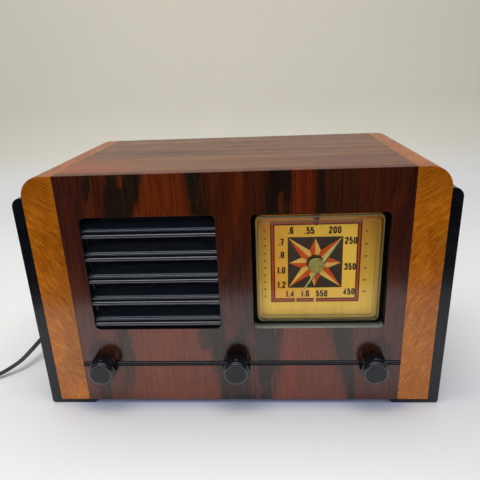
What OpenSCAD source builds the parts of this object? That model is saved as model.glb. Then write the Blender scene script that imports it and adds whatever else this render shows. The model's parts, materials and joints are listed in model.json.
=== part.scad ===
/* [Cabinet] */
// Width of the cabinet over the light side pieces
cabinet_w = 356; // [340:1:400]
// Height of the cabinet above its own underside
cabinet_h = 224; // [218:1:250]
// Depth of the cabinet from the front veneer to the back edge
cabinet_d = 197; // [190:1:230]
// Thickness of the cabinet boards
wall_t = 10; // [8:0.5:11]
// Radius of the long top edges
corner_r = 18; // [14:0.5:24]
// Width of each light stripe on the front
stripe_w = 28.5; // [26:0.5:32]
// Distance from the glue blocks' tops up to the top board
block_drop = 24; // [10:1:60]
// Width and depth of the glued wooden strips
block_w = 10; // [8:0.5:12]

/* [Side rails] */
// Thickness of the black side rails
rail_t = 9.7; // [8:0.1:14]
// Radius of the rails' outer top edge
rail_top_r = 8; // [3:0.5:8]
// Thickness of the feet that turn in under the cabinet
foot_t = 4; // [3.5:0.5:8]
// Length of each foot under the cabinet
foot_in = 35; // [20:1:60]
// Radius of the foot's outer bottom edge
foot_edge_r = 3; // [1:0.5:3.5]

/* [Windows] */
// Width of the front panel left between the two windows
mullion_w = 30; // [28:0.5:40]
// Width of the front panel between each window and its stripe
window_side = 17.5; // [14:0.5:24]
// Height of the grille and dial windows
window_h = 108.6; // [100:0.2:112]
// Distance of the windows' top edge below the cabinet's top
window_drop = 36.7; // [32:0.1:42]
// Corner radius of the windows
window_r = 5; // [3:0.5:8]

/* [Front bead] */
// Height of the black bead across the front
bead_w = 5.2; // [4:0.2:8]
// How far the bead stands out of the front
bead_out = 1; // [0.6:0.1:1.2]
// How deep the bead is let into the front
bead_in = 1.5; // [1:0.1:3]

/* [Knobs and shafts] */
// Height of the knob shafts above the cabinet underside
knob_z = 41.3; // [39:0.1:42]
// Distance of the outer knobs' shafts from the stripes, before the shift
knob_side = 24; // [20:0.5:30]
// Offset of the middle knob from the cabinet's middle
knob_shift = -2; // [-4:0.5:4]
// How far the knob faces stand out of the front
knob_out = 18; // [16:0.5:24]
// Radius of the fluted knob skirt
knob_skirt_r = 13; // [12:0.25:16]
// Radius of the ring behind the knob face
knob_ring_r = 12; // [11:0.25:12]
// Radius of the knob face
knob_face_r = 11.2; // [9:0.1:11.5]
// Gap between a knob and the front
knob_gap = 1.5; // [1.4:0.1:2.5]
// Radius of the control shafts
shaft_r = 3.175; // [3:0.025:3.2]
// Radius of the shaft holes in the front
shaft_hole_r = 5.5; // [5.2:0.1:7]

/* [Louvre grille] */
// Height of the lowest louvre's edge above the window's bottom
louvre_start = 2.3; // [2.1:0.1:4]
// Number of louvres
louvre_count = 5; // [3:1:5]
// Height of the face strip on each louvre
louvre_nose_h = 7.6; // [6:0.2:8]
// Thickness of the louvre slats
louvre_t = 2.4; // [1.6:0.2:3]
// Distance from each window side to the slots' ends
slot_inset = 13; // [8:1:20]
// Depth of the grille moulding behind the front
grille_back = 18; // [17:0.5:20]
// How far the grille's flange reaches past its window
grille_lip = 8; // [5:0.5:9]

/* [Dial] */
// Distance of the dial centre from the window's centre, towards the cabinet's middle
dial_shift = 2.2; // [0:0.1:4]
// Height of the dial centre above the window's centre
dial_lift = 3.7; // [0:0.1:6]
// Width of the gap between the window and the raised crystal
lens_gap = 4; // [2:0.25:6]
// Depth of the crystal's face behind the front
lens_depth = 5; // [4.5:0.25:5.5]
// Thickness of the crystal
lens_t = 1.5; // [1:0.1:2]
// Width of the step around the crystal's face
lens_step = 4.5; // [3:0.5:8]
// Width of the flange behind the front
lens_lip = 4; // [3:0.5:5]
// Depth of the dial plate's face behind the front
plate_depth = 15; // [14:0.5:16]
// Thickness of the dial plate
plate_t = 0.8; // [0.6:0.1:1.2]
// Radius of the hole in the dial plate
plate_hole_r = 6.5; // [5:0.25:9]
// Radius of the pointer's hub
hub_r = 6.8; // [5:0.1:8]
// Length of the pointer from tip to tip
pointer_len = 60; // [40:1:76]
// Width of the pointer needle
pointer_w = 1.6; // [1:0.1:3]
// Angle of the pointer from upright, clockwise
pointer_turn = 33; // [0:1:90]

/* [Tuning drive] */
// Radius of the groove in the dial drum
drum_r = 28; // [20:0.5:29]
// Turns of the tuning shaft for one turn of the drum
drive_ratio = 6; // [5.4:0.1:8]
// Thickness of the drive cord
drive_cord_d = 1; // [0.6:0.1:1.2]
// Radius of the tuning capacitor's moving plates
rotor_r = 18.5; // [12:0.5:19]
// Number of moving plates in each section
rotor_plates = 7; // [4:1:8]
// Distance from one moving plate to the next
plate_pitch = 3.2; // [3:0.1:3.4]
// Thickness of the tuning capacitor's plates
vane_t = 0.7; // [0.5:0.1:0.8]

/* [Chassis] */
// Distance between each chassis end and the cabinet side
chassis_side = 18; // [16:1:22]
// Depth of the chassis
chassis_d = 128; // [124:1:140]
// Radius of the volume and tone controls behind the chassis front
control_r = 11.2; // [10:0.1:13]
// Depth of the chassis front behind the cabinet front
chassis_y = 32; // [31:0.5:36]
// Thickness of the chassis sheet
sheet_t = 1.2; // [0.8:0.1:1.6]
// Radius of the tube bases
base_r = 16; // [14:0.5:17]
// Height of the tube bases
base_h = 22; // [16:1:26]
// Radius of the glass tubes
glass_r = 14; // [12:0.5:15]
// Height of the glass above the base
glass_h = 60; // [40:1:75]
// Side of the square coil cans
can_w = 34; // [28:1:36]
// Height of the coil cans
can_h = 72; // [50:1:90]

/* [Speaker] */
// Outer radius of the speaker frame
speaker_r = 63.5; // [60:0.5:65]
// Depth of the speaker frame
speaker_d = 36; // [30:1:42]
// Radius of the speaker magnet
magnet_r = 24; // [18:1:30]
// Depth of the speaker magnet
magnet_d = 26; // [16:1:36]

/* [Rear cover] */
// Thickness of the rear cover board
cover_t = 3; // [2:0.5:5]
// Depth of the cover inside the cabinet's back edge
cover_inset = 7; // [5:0.5:12]
// Length of the vent slots
vent_len = 32; // [20:1:34]
// Width of the vent slots
vent_w = 5; // [3:0.5:6]
// Distance between the outer vent slots and the cover's sides
vent_side = 11.5; // [9:0.5:20]

/* [Power cord] */
// Width of the flat twin cord
cord_w = 5.6; // [5:0.1:5.7]
// Thickness of the flat twin cord
cord_t = 2.8; // [2.4:0.1:2.9]
// Distance of the cord's exit from the cabinet's middle
exit_x = -120; // [-122:0.5:-118]
// Radius of the coil's innermost turn
coil_inner_r = 19; // [18:0.5:24]
// Distance between neighbouring turns
coil_pitch = 6.2; // [6.2:0.1:7]
// Distance between the coil's two layers
coil_rise = 3.4; // [3.4:0.1:4]

/* [Hidden] */
$fn = 48;
eps = 0.01;
// Running clearance of a shaft in its bearing
run_fit = 0.05;
// Clearance between pieces that only pass each other
part_gap = 0.3;

// The cabinet stands on its feet, centred between the knob faces and its back edge
front_y = knob_out - (cabinet_d + knob_out) / 2;
half_w = cabinet_w / 2;
seam_x = half_w - stripe_w;
inner_x = half_w - wall_t;
inner_top = cabinet_h - wall_t;
rail_h = cabinet_h - corner_r;
block_len = inner_top - wall_t - block_drop;
knob_pitch = seam_x - knob_side;
knob_xs = [knob_shift - knob_pitch, knob_shift, knob_shift + knob_pitch];
window_w = seam_x - window_side - mullion_w / 2;
window_x = (mullion_w + window_w) / 2;
window_z = cabinet_h - window_drop - window_h / 2;
grille_x = -window_x;
dial_x = window_x - dial_shift;
dial_z = window_z + dial_lift;
// The next louvre above the last would start just past the window's top
louvre_over = 1.2;
louvre_pitch = (window_h + louvre_over - louvre_start) / louvre_count;
lens_w = window_w - 2 * lens_gap;
lens_h = window_h - 2 * lens_gap;
mask_t = 1;
mask_lip = 9;
cloth_t = 0.6;
baffle_t = 6;
baffle_y = grille_back + cloth_t;
speaker_y = baffle_y + baffle_t;
speaker_hole_r = speaker_r - 11.5;
basket_t = 1.4;
drum_y = chassis_y - 10;
drum_t = 6;
bracket_y = chassis_y - 5;
gang_y = chassis_y;
gang_len = 60;
gang_half = rotor_r + 3.5;
gang_drop = rotor_r + 4.5;
gang_plate_t = 2;
gang_base = dial_z - gang_drop;
section_len = (rotor_plates - 1) * plate_pitch;
section_ys = [gang_y + 5, gang_y + gang_len - 5 - section_len];
drive_r = drum_r / drive_ratio;
chassis_z = wall_t;
chassis_w = 2 * (inner_x - chassis_side);
deck_z = knob_z + control_r + part_gap + sheet_t;
chassis_h = deck_z - chassis_z;
apron_y = chassis_y + sheet_t;
speaker_z = (deck_z + inner_top) / 2;
cover_y = cabinet_d - cover_inset - cover_t;
cover_z = (inner_top + wall_t) / 2;
vent_rows = [-4.5, -3.5, 3.5, 4.5];
vent_pitch_z = vent_w + 12;
// The cord leaves between the two lowest rows of vents
exit_z = cover_z - 4 * vent_pitch_z;
// Cans, tubes and the filter capacitor share one row along the back of the deck
row_near = 28;
row_far = 20;
row_back = 32;
front_tube_x = 25;
front_tube_y = 40;
row_right = chassis_w / 2 - row_near;
row_pitch = (chassis_w - row_near - row_far) / 6;
row_y = chassis_y + chassis_d - row_back;
tube_xs = [chassis_w / 2 - front_tube_x, row_right - row_pitch, row_right - 3 * row_pitch,
    row_right - 4 * row_pitch, row_right - 5 * row_pitch];
tube_ys = [chassis_y + front_tube_y, row_y, row_y, row_y, row_y];
can_xs = [row_right, row_right - 2 * row_pitch];
can_y = row_y - 3;
cap_x = row_right - 6 * row_pitch;
cap_r = 13;
socket_t = 1;
socket_r = base_r + 1.5;
glass_z = deck_z + socket_t + base_h;

module place() {
    translate([0, front_y, foot_t]) children();
}

module along_y(from, to) {
    translate([0, to, 0]) rotate([90, 0, 0]) linear_extrude(to - from) children();
}

module along_x(from, to) {
    translate([from, 0, 0]) rotate([90, 0, 90]) linear_extrude(to - from) children();
}

module y_rod(x, z, from, to, r) {
    translate([x, to, z]) rotate([90, 0, 0]) cylinder(h = to - from, r = r);
}

// A revolved shape whose outline is given as radius and depth behind the front
module y_turned(x, z) {
    translate([x, 0, z]) rotate([-90, 0, 0]) rotate_extrude() children();
}

module rounded(w, h, r) {
    square([w - 2 * r, h], center = true);
    square([w, h - 2 * r], center = true);
    for (x = [-1, 1], y = [-1, 1])
        translate([x * (w / 2 - r), y * (h / 2 - r)]) circle(r = r);
}

module quarter(r) {
    intersection() {
        circle(r = r);
        square(r);
    }
}

module slot(w, h) {
    square([w - h, h], center = true);
    for (x = [-1, 1]) translate([x * (w - h) / 2, 0]) circle(d = h);
}

module bead_outline() {
    sag_r = (bead_w * bead_w / 4 + bead_out * bead_out) / (2 * bead_out);
    translate([0, -bead_w / 2]) square([bead_in, bead_w]);
    intersection() {
        translate([sag_r - bead_out, 0]) circle(r = sag_r);
        translate([-bead_out, -bead_w / 2]) square([bead_out, bead_w]);
    }
}

module shaft_holes(depth) {
    for (x = knob_xs) y_rod(x, knob_z, -depth, depth, shaft_hole_r);
}

module front_panel() {
    color([0.36, 0.16, 0.09]) place() difference() {
        along_y(0, wall_t) difference() {
            translate([-seam_x, 0]) square([2 * seam_x, cabinet_h]);
            for (s = [-1, 1])
                translate([s * window_x, window_z]) rounded(window_w, window_h, window_r);
        }
        along_y(wall_t - lens_t, wall_t + 1) translate([window_x, window_z])
            rounded(window_w + 2 * lens_lip + part_gap, window_h + 2 * lens_lip + part_gap, window_r);
        along_x(-seam_x - 1, seam_x + 1) translate([-1, knob_z - bead_w / 2])
            square([bead_in + 1, bead_w]);
        shaft_holes(wall_t + 1);
    }
}

module stripe_outline() {
    square([stripe_w, cabinet_h - corner_r]);
    square([stripe_w - corner_r, cabinet_h]);
    translate([stripe_w - corner_r, cabinet_h - corner_r]) quarter(corner_r);
}

module left_stripe() {
    color([0.72, 0.42, 0.14]) place() along_y(0, wall_t)
        mirror([1, 0]) translate([seam_x, 0]) stripe_outline();
}

module right_stripe() {
    color([0.72, 0.42, 0.14]) place() along_y(0, wall_t)
        translate([seam_x, 0]) stripe_outline();
}

module side_outline() {
    translate([inner_x, 0]) square([wall_t, cabinet_h - corner_r]);
    translate([seam_x, inner_top]) square([stripe_w - corner_r, wall_t]);
    translate([half_w - corner_r, cabinet_h - corner_r]) difference() {
        quarter(corner_r);
        circle(r = corner_r - wall_t);
    }
}

module left_side() {
    color([0.68, 0.4, 0.14]) place() along_y(wall_t, cabinet_d) mirror([1, 0]) side_outline();
}

module right_side() {
    color([0.68, 0.4, 0.14]) place() along_y(wall_t, cabinet_d) side_outline();
}

module top_panel() {
    color([0.4, 0.24, 0.17]) place() translate([-seam_x, wall_t, inner_top])
        cube([2 * seam_x, cabinet_d - wall_t, wall_t]);
}

bolt_r = 2;
bolt_head_r = 4.5;
bolt_head_h = 2.6;
bolt_nut_r = 3.8;
bolt_x = half_w - foot_in - bolt_head_r - 2;
bolt_ys = [chassis_y + 20, chassis_y + chassis_d - 20];

module bolt_places() {
    for (x = [-bolt_x, bolt_x], y = bolt_ys) translate([x, y, 0]) children();
}

module bottom_board() {
    color([0.5, 0.34, 0.2]) place() difference() {
        translate([-inner_x, wall_t, 0]) cube([2 * inner_x, cabinet_d - wall_t, wall_t]);
        bolt_places() translate([0, 0, -1]) cylinder(h = wall_t + 2, r = bolt_r + part_gap);
    }
}

// Upright rail, its rounded top edge and the foot that turns in under the cabinet
module rail_outline() {
    translate([half_w, foot_edge_r - foot_t])
        square([rail_t, rail_h + foot_t - foot_edge_r - rail_top_r]);
    translate([half_w, -foot_t]) square([rail_t - foot_edge_r, foot_edge_r]);
    translate([half_w + rail_t - foot_edge_r, foot_edge_r - foot_t]) mirror([0, 1]) quarter(foot_edge_r);
    translate([half_w, rail_h - rail_top_r]) square([rail_t - rail_top_r, rail_top_r]);
    translate([half_w + rail_t - rail_top_r, rail_h - rail_top_r]) quarter(rail_top_r);
    translate([half_w - foot_in + foot_edge_r, -foot_t]) square([foot_in - foot_edge_r, foot_t]);
    translate([half_w - foot_in, foot_edge_r - foot_t]) square([foot_edge_r, foot_t - foot_edge_r]);
    translate([half_w - foot_in + foot_edge_r, foot_edge_r - foot_t])
        mirror([1, 0]) mirror([0, 1]) quarter(foot_edge_r);
}

module left_rail() {
    color([0.06, 0.06, 0.07]) place() along_y(0, cabinet_d) mirror([1, 0]) rail_outline();
}

module right_rail() {
    color([0.06, 0.06, 0.07]) place() along_y(0, cabinet_d) rail_outline();
}

module panel_bead() {
    color([0.04, 0.04, 0.05]) place() difference() {
        along_x(-seam_x, seam_x) translate([0, knob_z]) bead_outline();
        shaft_holes(wall_t);
    }
}

cleat_x = -0.5;

module glue_blocks() {
    color([0.62, 0.46, 0.28]) place() {
        for (x = [-inner_x, inner_x - block_w])
            translate([x, wall_t, wall_t]) cube([block_w, baffle_y - wall_t, block_len]);
        translate([cleat_x - block_w / 2 + 0.5, wall_t, window_z - window_h / 2 - 10])
            cube([block_w - 1, baffle_y - wall_t, window_h + 20]);
    }
}

screw_x = inner_x - block_w / 2;
screw_zs = [wall_t + 15, wall_t + block_len - 15];
screw_r = 1.6;
screw_len = 7;

module back_cleats() {
    color([0.6, 0.44, 0.27]) place() difference() {
        for (x = [-inner_x, inner_x - block_w])
            translate([x, cover_y - block_w, wall_t]) cube([block_w, block_w, block_len]);
        for (x = [-screw_x, screw_x], z = screw_zs)
            y_rod(x, z, cover_y - screw_len - 1, cover_y + 1, screw_r + run_fit);
    }
}

// One louvre seen from the side: a face strip with two beads and a slat that rises to the back
module louvre_outline(top_reach) {
    bead_r = 1.5;
    slat_y = grille_back - louvre_t;
    polygon([
        [2, 0], [4.6, 0], [4.6, louvre_nose_h - 3.2], [6.5, louvre_nose_h - 2.2],
        [10, louvre_nose_h - 0.6], [slat_y, louvre_nose_h + 3], [grille_back, louvre_nose_h + 3],
        [grille_back, louvre_nose_h + top_reach], [slat_y, louvre_nose_h + top_reach],
        [slat_y, louvre_nose_h + 5.6], [9, louvre_nose_h + 1.8], [5, louvre_nose_h + 0.4],
        [2.6, louvre_nose_h], [2, louvre_nose_h - 0.6]
    ]);
    for (z = [3.2, 6.1]) translate([2.4, z]) circle(r = bead_r);
}

// The louvres and the box round them, before the corners are rounded to fit the window
module louvre_box(bottom, top, span, end_t) {
    last_reach = top - bottom - louvre_start - (louvre_count - 1) * louvre_pitch - louvre_nose_h;
    for (k = [0 : louvre_count - 1])
        along_x(-span, span) translate([0, bottom + louvre_start + k * louvre_pitch])
            louvre_outline(k == louvre_count - 1 ? last_reach : 6);
    for (s = [-1, 1]) {
        along_x(s * span - (s > 0 ? end_t : 0), s * span + (s > 0 ? 0 : end_t))
            translate([3, bottom]) square([grille_back - 3, top - bottom]);
        along_x(s * span - (s > 0 ? slot_inset : 0), s * span + (s > 0 ? 0 : slot_inset))
            translate([grille_back - louvre_t, bottom]) square([louvre_t, top - bottom]);
    }
    for (z = [bottom, top - end_t]) along_x(-span, span) translate([4, z]) square([grille_back - 4, end_t]);
}

module louvre_grille() {
    span = window_w / 2 - part_gap;
    reach = window_h / 2 - part_gap;
    end_t = 2;
    color([0.05, 0.05, 0.06]) place() translate([grille_x, 0, 0]) {
        intersection() {
            louvre_box(window_z - reach, window_z + reach, span, end_t);
            along_y(0, grille_back) translate([0, window_z]) rounded(2 * span, 2 * reach, window_r);
        }
        along_y(wall_t, wall_t + end_t) translate([0, window_z]) difference() {
            square([window_w + 2 * grille_lip, window_h + 2 * grille_lip], center = true);
            square([2 * span - 1, 2 * reach - 1], center = true);
        }
    }
}

module grille_cloth() {
    color([0.2, 0.14, 0.1]) place() translate([grille_x, 0, window_z])
        along_y(grille_back, baffle_y)
        square([window_w + grille_lip, window_h + grille_lip], center = true);
}

module speaker_baffle() {
    left = -inner_x + 2;
    right = cleat_x + block_w / 2;
    edge = speaker_r + 5;
    color([0.45, 0.33, 0.22]) place() along_y(baffle_y, speaker_y) difference() {
        translate([left, speaker_z - edge]) square([right - left, 2 * edge]);
        translate([grille_x, speaker_z]) circle(r = speaker_hole_r);
    }
}

module speaker_basket() {
    throat = magnet_r + 1;
    bell = speaker_r - 3;
    color([0.5, 0.5, 0.48]) place() difference() {
        y_turned(grille_x, speaker_z) polygon([
            [speaker_hole_r, speaker_y], [speaker_r, speaker_y], [speaker_r, speaker_y + basket_t],
            [bell, speaker_y + basket_t], [bell - 2, speaker_y + 9],
            [throat, speaker_y + speaker_d], [14, speaker_y + speaker_d],
            [14, speaker_y + speaker_d - basket_t], [throat - 1, speaker_y + speaker_d - basket_t],
            [bell - 4, speaker_y + 8.6], [bell - 2, speaker_y + basket_t],
            [speaker_hole_r, speaker_y + basket_t]
        ]);
        for (turn = [0 : 90 : 270])
            translate([grille_x, speaker_y + speaker_d / 2 + 3, speaker_z]) rotate([0, turn + 45, 0])
                translate([0, -9, 0]) cube([22, 18, speaker_r + 5]);
    }
}

module speaker_cone() {
    rim = speaker_y + basket_t;
    outer = speaker_r - 7.5;
    tail = speaker_y + speaker_d - 5.6;
    color([0.16, 0.13, 0.11]) place() y_turned(grille_x, speaker_z) polygon([
        [0, tail - 10], [9, tail - 7.5], [12, tail - 5], [outer - 6, rim + 2.4], [outer - 3.5, rim],
        [outer, rim], [outer, rim + 0.7], [outer - 3, rim + 0.7], [outer - 5.4, rim + 3.2],
        [12.6, tail - 4], [12.6, tail], [11.6, tail], [11.6, tail - 4.4],
        [9, tail - 6.7], [0, tail - 9.2]
    ]);
}

module speaker_magnet() {
    back = speaker_y + speaker_d;
    color([0.42, 0.42, 0.4]) place() {
        y_turned(grille_x, speaker_z) polygon([
            [0, back - 8], [9, back - 8], [9, back], [magnet_r - 2, back],
            [magnet_r, back + 2], [magnet_r, back + magnet_d - 2],
            [magnet_r - 2, back + magnet_d], [0, back + magnet_d]
        ]);
    }
}

module output_transformer() {
    core_w = 44;
    core_d = 16;
    core_h = 38;
    winding_d = 34;
    leg_w = 9;
    yoke_h = 6;
    mid_x = 5;
    mid_y = chassis_y + 46;
    color([0.3, 0.28, 0.26]) place() translate([mid_x, mid_y, deck_z]) {
        translate([-core_w / 2, -core_d / 2, 0]) cube([core_w, core_d, core_h]);
        translate([-core_w / 2 + leg_w, -winding_d / 2, yoke_h])
            cube([core_w - 2 * leg_w, winding_d, core_h - 2 * yoke_h]);
        translate([-core_w / 2 - leg_w, -core_d / 2, 0]) cube([core_w + 2 * leg_w, core_d, sheet_t]);
    }
}

module dial_lens() {
    step_up = 1;
    raised_w = lens_w - 2 * lens_step;
    raised_h = lens_h - 2 * lens_step;
    color([0.85, 0.85, 0.8, 0.35]) place() translate([window_x, 0, window_z]) difference() {
        union() {
            along_y(wall_t - lens_t, wall_t)
                rounded(window_w + 2 * lens_lip, window_h + 2 * lens_lip, window_r);
            along_y(lens_depth, wall_t) rounded(lens_w, lens_h, window_r);
            along_y(lens_depth - step_up, wall_t) rounded(raised_w, raised_h, window_r);
        }
        along_y(lens_depth + lens_t, wall_t + 1)
            rounded(lens_w - 2 * lens_t, lens_h - 2 * lens_t, window_r - lens_t);
        along_y(lens_depth - step_up + lens_t, wall_t + 1)
            rounded(raised_w - 2 * lens_t, raised_h - 2 * lens_t, window_r - lens_t);
    }
}

module dial_mask() {
    color([0.04, 0.04, 0.04]) place() translate([window_x, 0, window_z])
        along_y(wall_t, wall_t + mask_t) difference() {
            square([window_w + 2 * mask_lip, window_h + 2 * mask_lip], center = true);
            rounded(lens_w, lens_h, window_r);
        }
}

module dial_plate() {
    color([0.78, 0.62, 0.32]) place() along_y(plate_depth, plate_depth + plate_t) difference() {
        translate([window_x, window_z]) rounded(window_w + 3, window_h + 3, window_r);
        translate([dial_x, dial_z]) circle(r = plate_hole_r);
    }
}

bracket_half = 45;
post_x = 34;
post_z = 46;
post_r = 3;
lamp_x = dial_x - 31;
lamp_z = inner_top - 16;
lamp_hole_r = 5;
bracket_top = lamp_z + 9;
gang_leg_x = gang_half + 2;

module dial_bracket() {
    color([0.62, 0.62, 0.6]) place() {
        along_y(bracket_y, bracket_y + sheet_t) difference() {
            translate([dial_x - bracket_half, deck_z])
                square([2 * bracket_half, bracket_top - deck_z]);
            translate([dial_x, dial_z]) circle(r = shaft_r + run_fit);
            translate([lamp_x, lamp_z]) circle(r = lamp_hole_r);
        }
        for (x = [-bracket_half, gang_leg_x + part_gap])
            translate([dial_x + x, bracket_y + sheet_t - eps, deck_z])
                cube([bracket_half - gang_leg_x - part_gap, apron_y + 8 - bracket_y, sheet_t]);
        for (x = [-post_x, post_x], z = [-post_z, post_z])
            y_rod(dial_x + x, dial_z + z, plate_depth + plate_t, bracket_y + eps, post_r);
    }
}

hub_y = plate_depth - 7;

module dial_pointer() {
    tip_w = 0.5;
    half = pointer_len / 2;
    needle_t = 0.5;
    color([0.6, 0.55, 0.3]) place() difference() {
        union() {
            y_rod(dial_x, dial_z, hub_y, hub_y + 3, hub_r);
            translate([dial_x, 0, dial_z]) rotate([0, pointer_turn, 0])
                along_y(hub_y + 1, hub_y + 1 + needle_t) polygon([
                    [-tip_w / 2, -half], [tip_w / 2, -half], [pointer_w / 2, 0],
                    [tip_w / 2, half], [-tip_w / 2, half], [-pointer_w / 2, 0]
                ]);
        }
        y_rod(dial_x, dial_z, hub_y + 1.6, hub_y + 4, shaft_r + run_fit);
    }
}

module dial_drum() {
    rim_r = drum_r + 2.5;
    side = drum_t / 2;
    color([0.72, 0.68, 0.55]) place() y_turned(dial_x, dial_z) polygon([
        [shaft_r + run_fit, drum_y - side], [7, drum_y - side], [7, drum_y - 0.8],
        [drum_r - 3, drum_y - 0.8], [drum_r - 3, drum_y - side + 1], [rim_r, drum_y - side + 1],
        [drum_r, drum_y - 0.7], [drum_r, drum_y + 0.7], [rim_r, drum_y + side - 1],
        [drum_r - 3, drum_y + side - 1], [drum_r - 3, drum_y + 0.8], [7, drum_y + 0.8],
        [7, drum_y + side], [shaft_r + run_fit, drum_y + side]
    ]);
}

module drive_loop(out) {
    hull() {
        translate([dial_x, dial_z]) circle(r = drum_r + part_gap + out, $fn = 64);
        translate([knob_xs[2], knob_z]) circle(r = drive_r + part_gap + out, $fn = 64);
    }
}

module dial_cord() {
    color([0.75, 0.7, 0.6]) place() along_y(drum_y - drive_cord_d / 2, drum_y + drive_cord_d / 2)
        difference() {
            drive_loop(drive_cord_d);
            drive_loop(0);
        }
}

module dial_lamp() {
    color([0.9, 0.9, 0.8, 0.5]) place() {
        y_rod(lamp_x, lamp_z, bracket_y - 2, bracket_y + 12, lamp_hole_r - 1.1);
        y_rod(lamp_x, lamp_z, bracket_y - 9, bracket_y - 2, lamp_hole_r - 0.4);
        translate([lamp_x, bracket_y - 9, lamp_z]) sphere(r = lamp_hole_r - 0.4);
    }
}

module lamp_holder() {
    color([0.66, 0.6, 0.4]) place() difference() {
        union() {
            y_rod(lamp_x, lamp_z, bracket_y - 1, bracket_y + 14, lamp_hole_r - 0.1);
            y_rod(lamp_x, lamp_z, bracket_y + sheet_t, bracket_y + sheet_t + 1, lamp_hole_r + 2);
        }
        y_rod(lamp_x, lamp_z, bracket_y - 2, bracket_y + 12, lamp_hole_r - 1.05);
    }
}

// A shelf on two legs whose feet turn in over the deck
module gang_bracket() {
    inset = 2;
    toe = 8;
    color([0.6, 0.6, 0.58]) place() translate([dial_x, 0, 0]) {
        translate([-gang_leg_x, gang_y + inset, gang_base - sheet_t])
            cube([2 * gang_leg_x, gang_len - 2 * inset, sheet_t]);
        for (s = [-1, 1]) {
            translate([s > 0 ? gang_leg_x - sheet_t : -gang_leg_x, gang_y + inset, deck_z])
                cube([sheet_t, gang_len - 2 * inset, gang_base - deck_z]);
            translate([s > 0 ? gang_leg_x - toe : -gang_leg_x, gang_y + inset, deck_z])
                cube([toe, gang_len - 2 * inset, sheet_t]);
        }
    }
}

module gang_frame() {
    end_h = gang_drop + rotor_r + 3;
    color([0.7, 0.7, 0.68]) place() translate([dial_x, 0, gang_base]) difference() {
        union() {
            translate([-gang_half, gang_y, 0]) cube([2 * gang_half, gang_len, gang_plate_t]);
            for (y = [gang_y, gang_y + gang_len - gang_plate_t])
                translate([-gang_half, y, 0]) cube([2 * gang_half, gang_plate_t, end_h]);
        }
        y_rod(0, gang_drop, gang_y - 1, gang_y + gang_len + 1, shaft_r + run_fit);
    }
}

module half_disc(r_out, r_in) {
    difference() {
        intersection() {
            circle(r = r_out);
            translate([0, -r_out]) square([r_out, 2 * r_out]);
        }
        circle(r = r_in);
    }
}

// Fixed plates stand on the side that the moving plates turn into
module gang_stators() {
    comb_t = 2.5;
    comb_h = 8;
    outer = rotor_r + 1.5;
    color([0.75, 0.75, 0.72]) place() translate([dial_x, 0, dial_z]) {
        for (start = section_ys, k = [0 : rotor_plates - 2]) {
            mid = start + (k + 0.5) * plate_pitch;
            along_y(mid - vane_t / 2, mid + vane_t / 2)
                mirror([1, 0]) half_disc(outer, shaft_r + 4);
        }
        translate([-rotor_r - part_gap - comb_t, gang_y + gang_plate_t, -comb_h / 2])
            cube([comb_t, gang_len - 2 * gang_plate_t, comb_h]);
    }
}

module gang_rotor() {
    shaft_end = gang_y + gang_len + 3;
    color([0.8, 0.8, 0.76]) place() translate([dial_x, 0, dial_z]) {
        y_rod(0, 0, hub_y + 1.7, shaft_end, shaft_r);
        rotate([0, pointer_turn, 0])
            for (start = section_ys, k = [0 : rotor_plates - 1]) {
                mid = start + k * plate_pitch;
                along_y(mid - vane_t / 2, mid + vane_t / 2) half_disc(rotor_r, shaft_r - 1);
            }
        for (start = section_ys)
            y_rod(0, 0, start - 1, start + section_len + 1, shaft_r + 2);
    }
}

// A knob turned on its shaft, with broad hollow flutes round the skirt
module knob(x) {
    back = -knob_gap;
    face = -knob_out;
    skirt = face + 6;
    flute_r = 9;
    flute_depth = 2;
    flutes = 8;
    color([0.03, 0.03, 0.035]) place() difference() {
        union() {
            along_y(skirt, back) translate([x, knob_z]) difference() {
                circle(r = knob_skirt_r);
                for (k = [0 : flutes - 1]) rotate((k + 0.5) * 360 / flutes)
                    translate([knob_skirt_r + flute_r - flute_depth, 0]) circle(r = flute_r);
            }
            y_turned(x, knob_z) polygon([
                [0, face], [knob_face_r - 0.5, face], [knob_face_r, face + 0.5],
                [knob_face_r, face + 1.6], [knob_face_r - 0.9, face + 2], [knob_face_r + 0.3, face + 2.6],
                [knob_face_r + 0.3, face + 3.4], [knob_face_r - 0.7, face + 3.8],
                [knob_face_r - 0.7, skirt - 1], [knob_ring_r, skirt - 1], [knob_ring_r, skirt + 0.5],
                [0, skirt + 0.5]
            ]);
        }
        y_rod(x, knob_z, face + 5, 1, shaft_r + run_fit);
    }
}

module tuning_knob() {
    knob(knob_xs[2]);
}

module tone_knob() {
    knob(knob_xs[1]);
}

module volume_knob() {
    knob(knob_xs[0]);
}

bushing_r = 4.7;
wiper_r = control_r - 3;

module control_shaft(x) {
    color([0.75, 0.74, 0.7]) place() {
        y_rod(x, knob_z, -knob_out + 5.5, apron_y + 9, shaft_r);
        y_rod(x, knob_z, apron_y + 7.5, apron_y + 9, wiper_r);
    }
}

// A round control behind the chassis front, its threaded neck and nut in front
module control_body(x, can_depth) {
    color([0.55, 0.5, 0.4]) place() difference() {
        union() {
            y_rod(x, knob_z, apron_y, apron_y + can_depth, control_r);
            y_rod(x, knob_z, chassis_y - 6, apron_y + eps, bushing_r);
            y_rod(x, knob_z, chassis_y - 2.4, chassis_y, 7.4, $fn = 6);
        }
        y_rod(x, knob_z, chassis_y - 7, apron_y + 4, shaft_r + run_fit);
        y_rod(x, knob_z, apron_y + 3, apron_y + 11, wiper_r + 1.5);
    }
}

module volume_shaft() {
    control_shaft(knob_xs[0]);
}

module tone_shaft() {
    control_shaft(knob_xs[1]);
}

module volume_control() {
    control_body(knob_xs[0], 22);
}

module tone_control() {
    control_body(knob_xs[1], 13);
}

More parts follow.
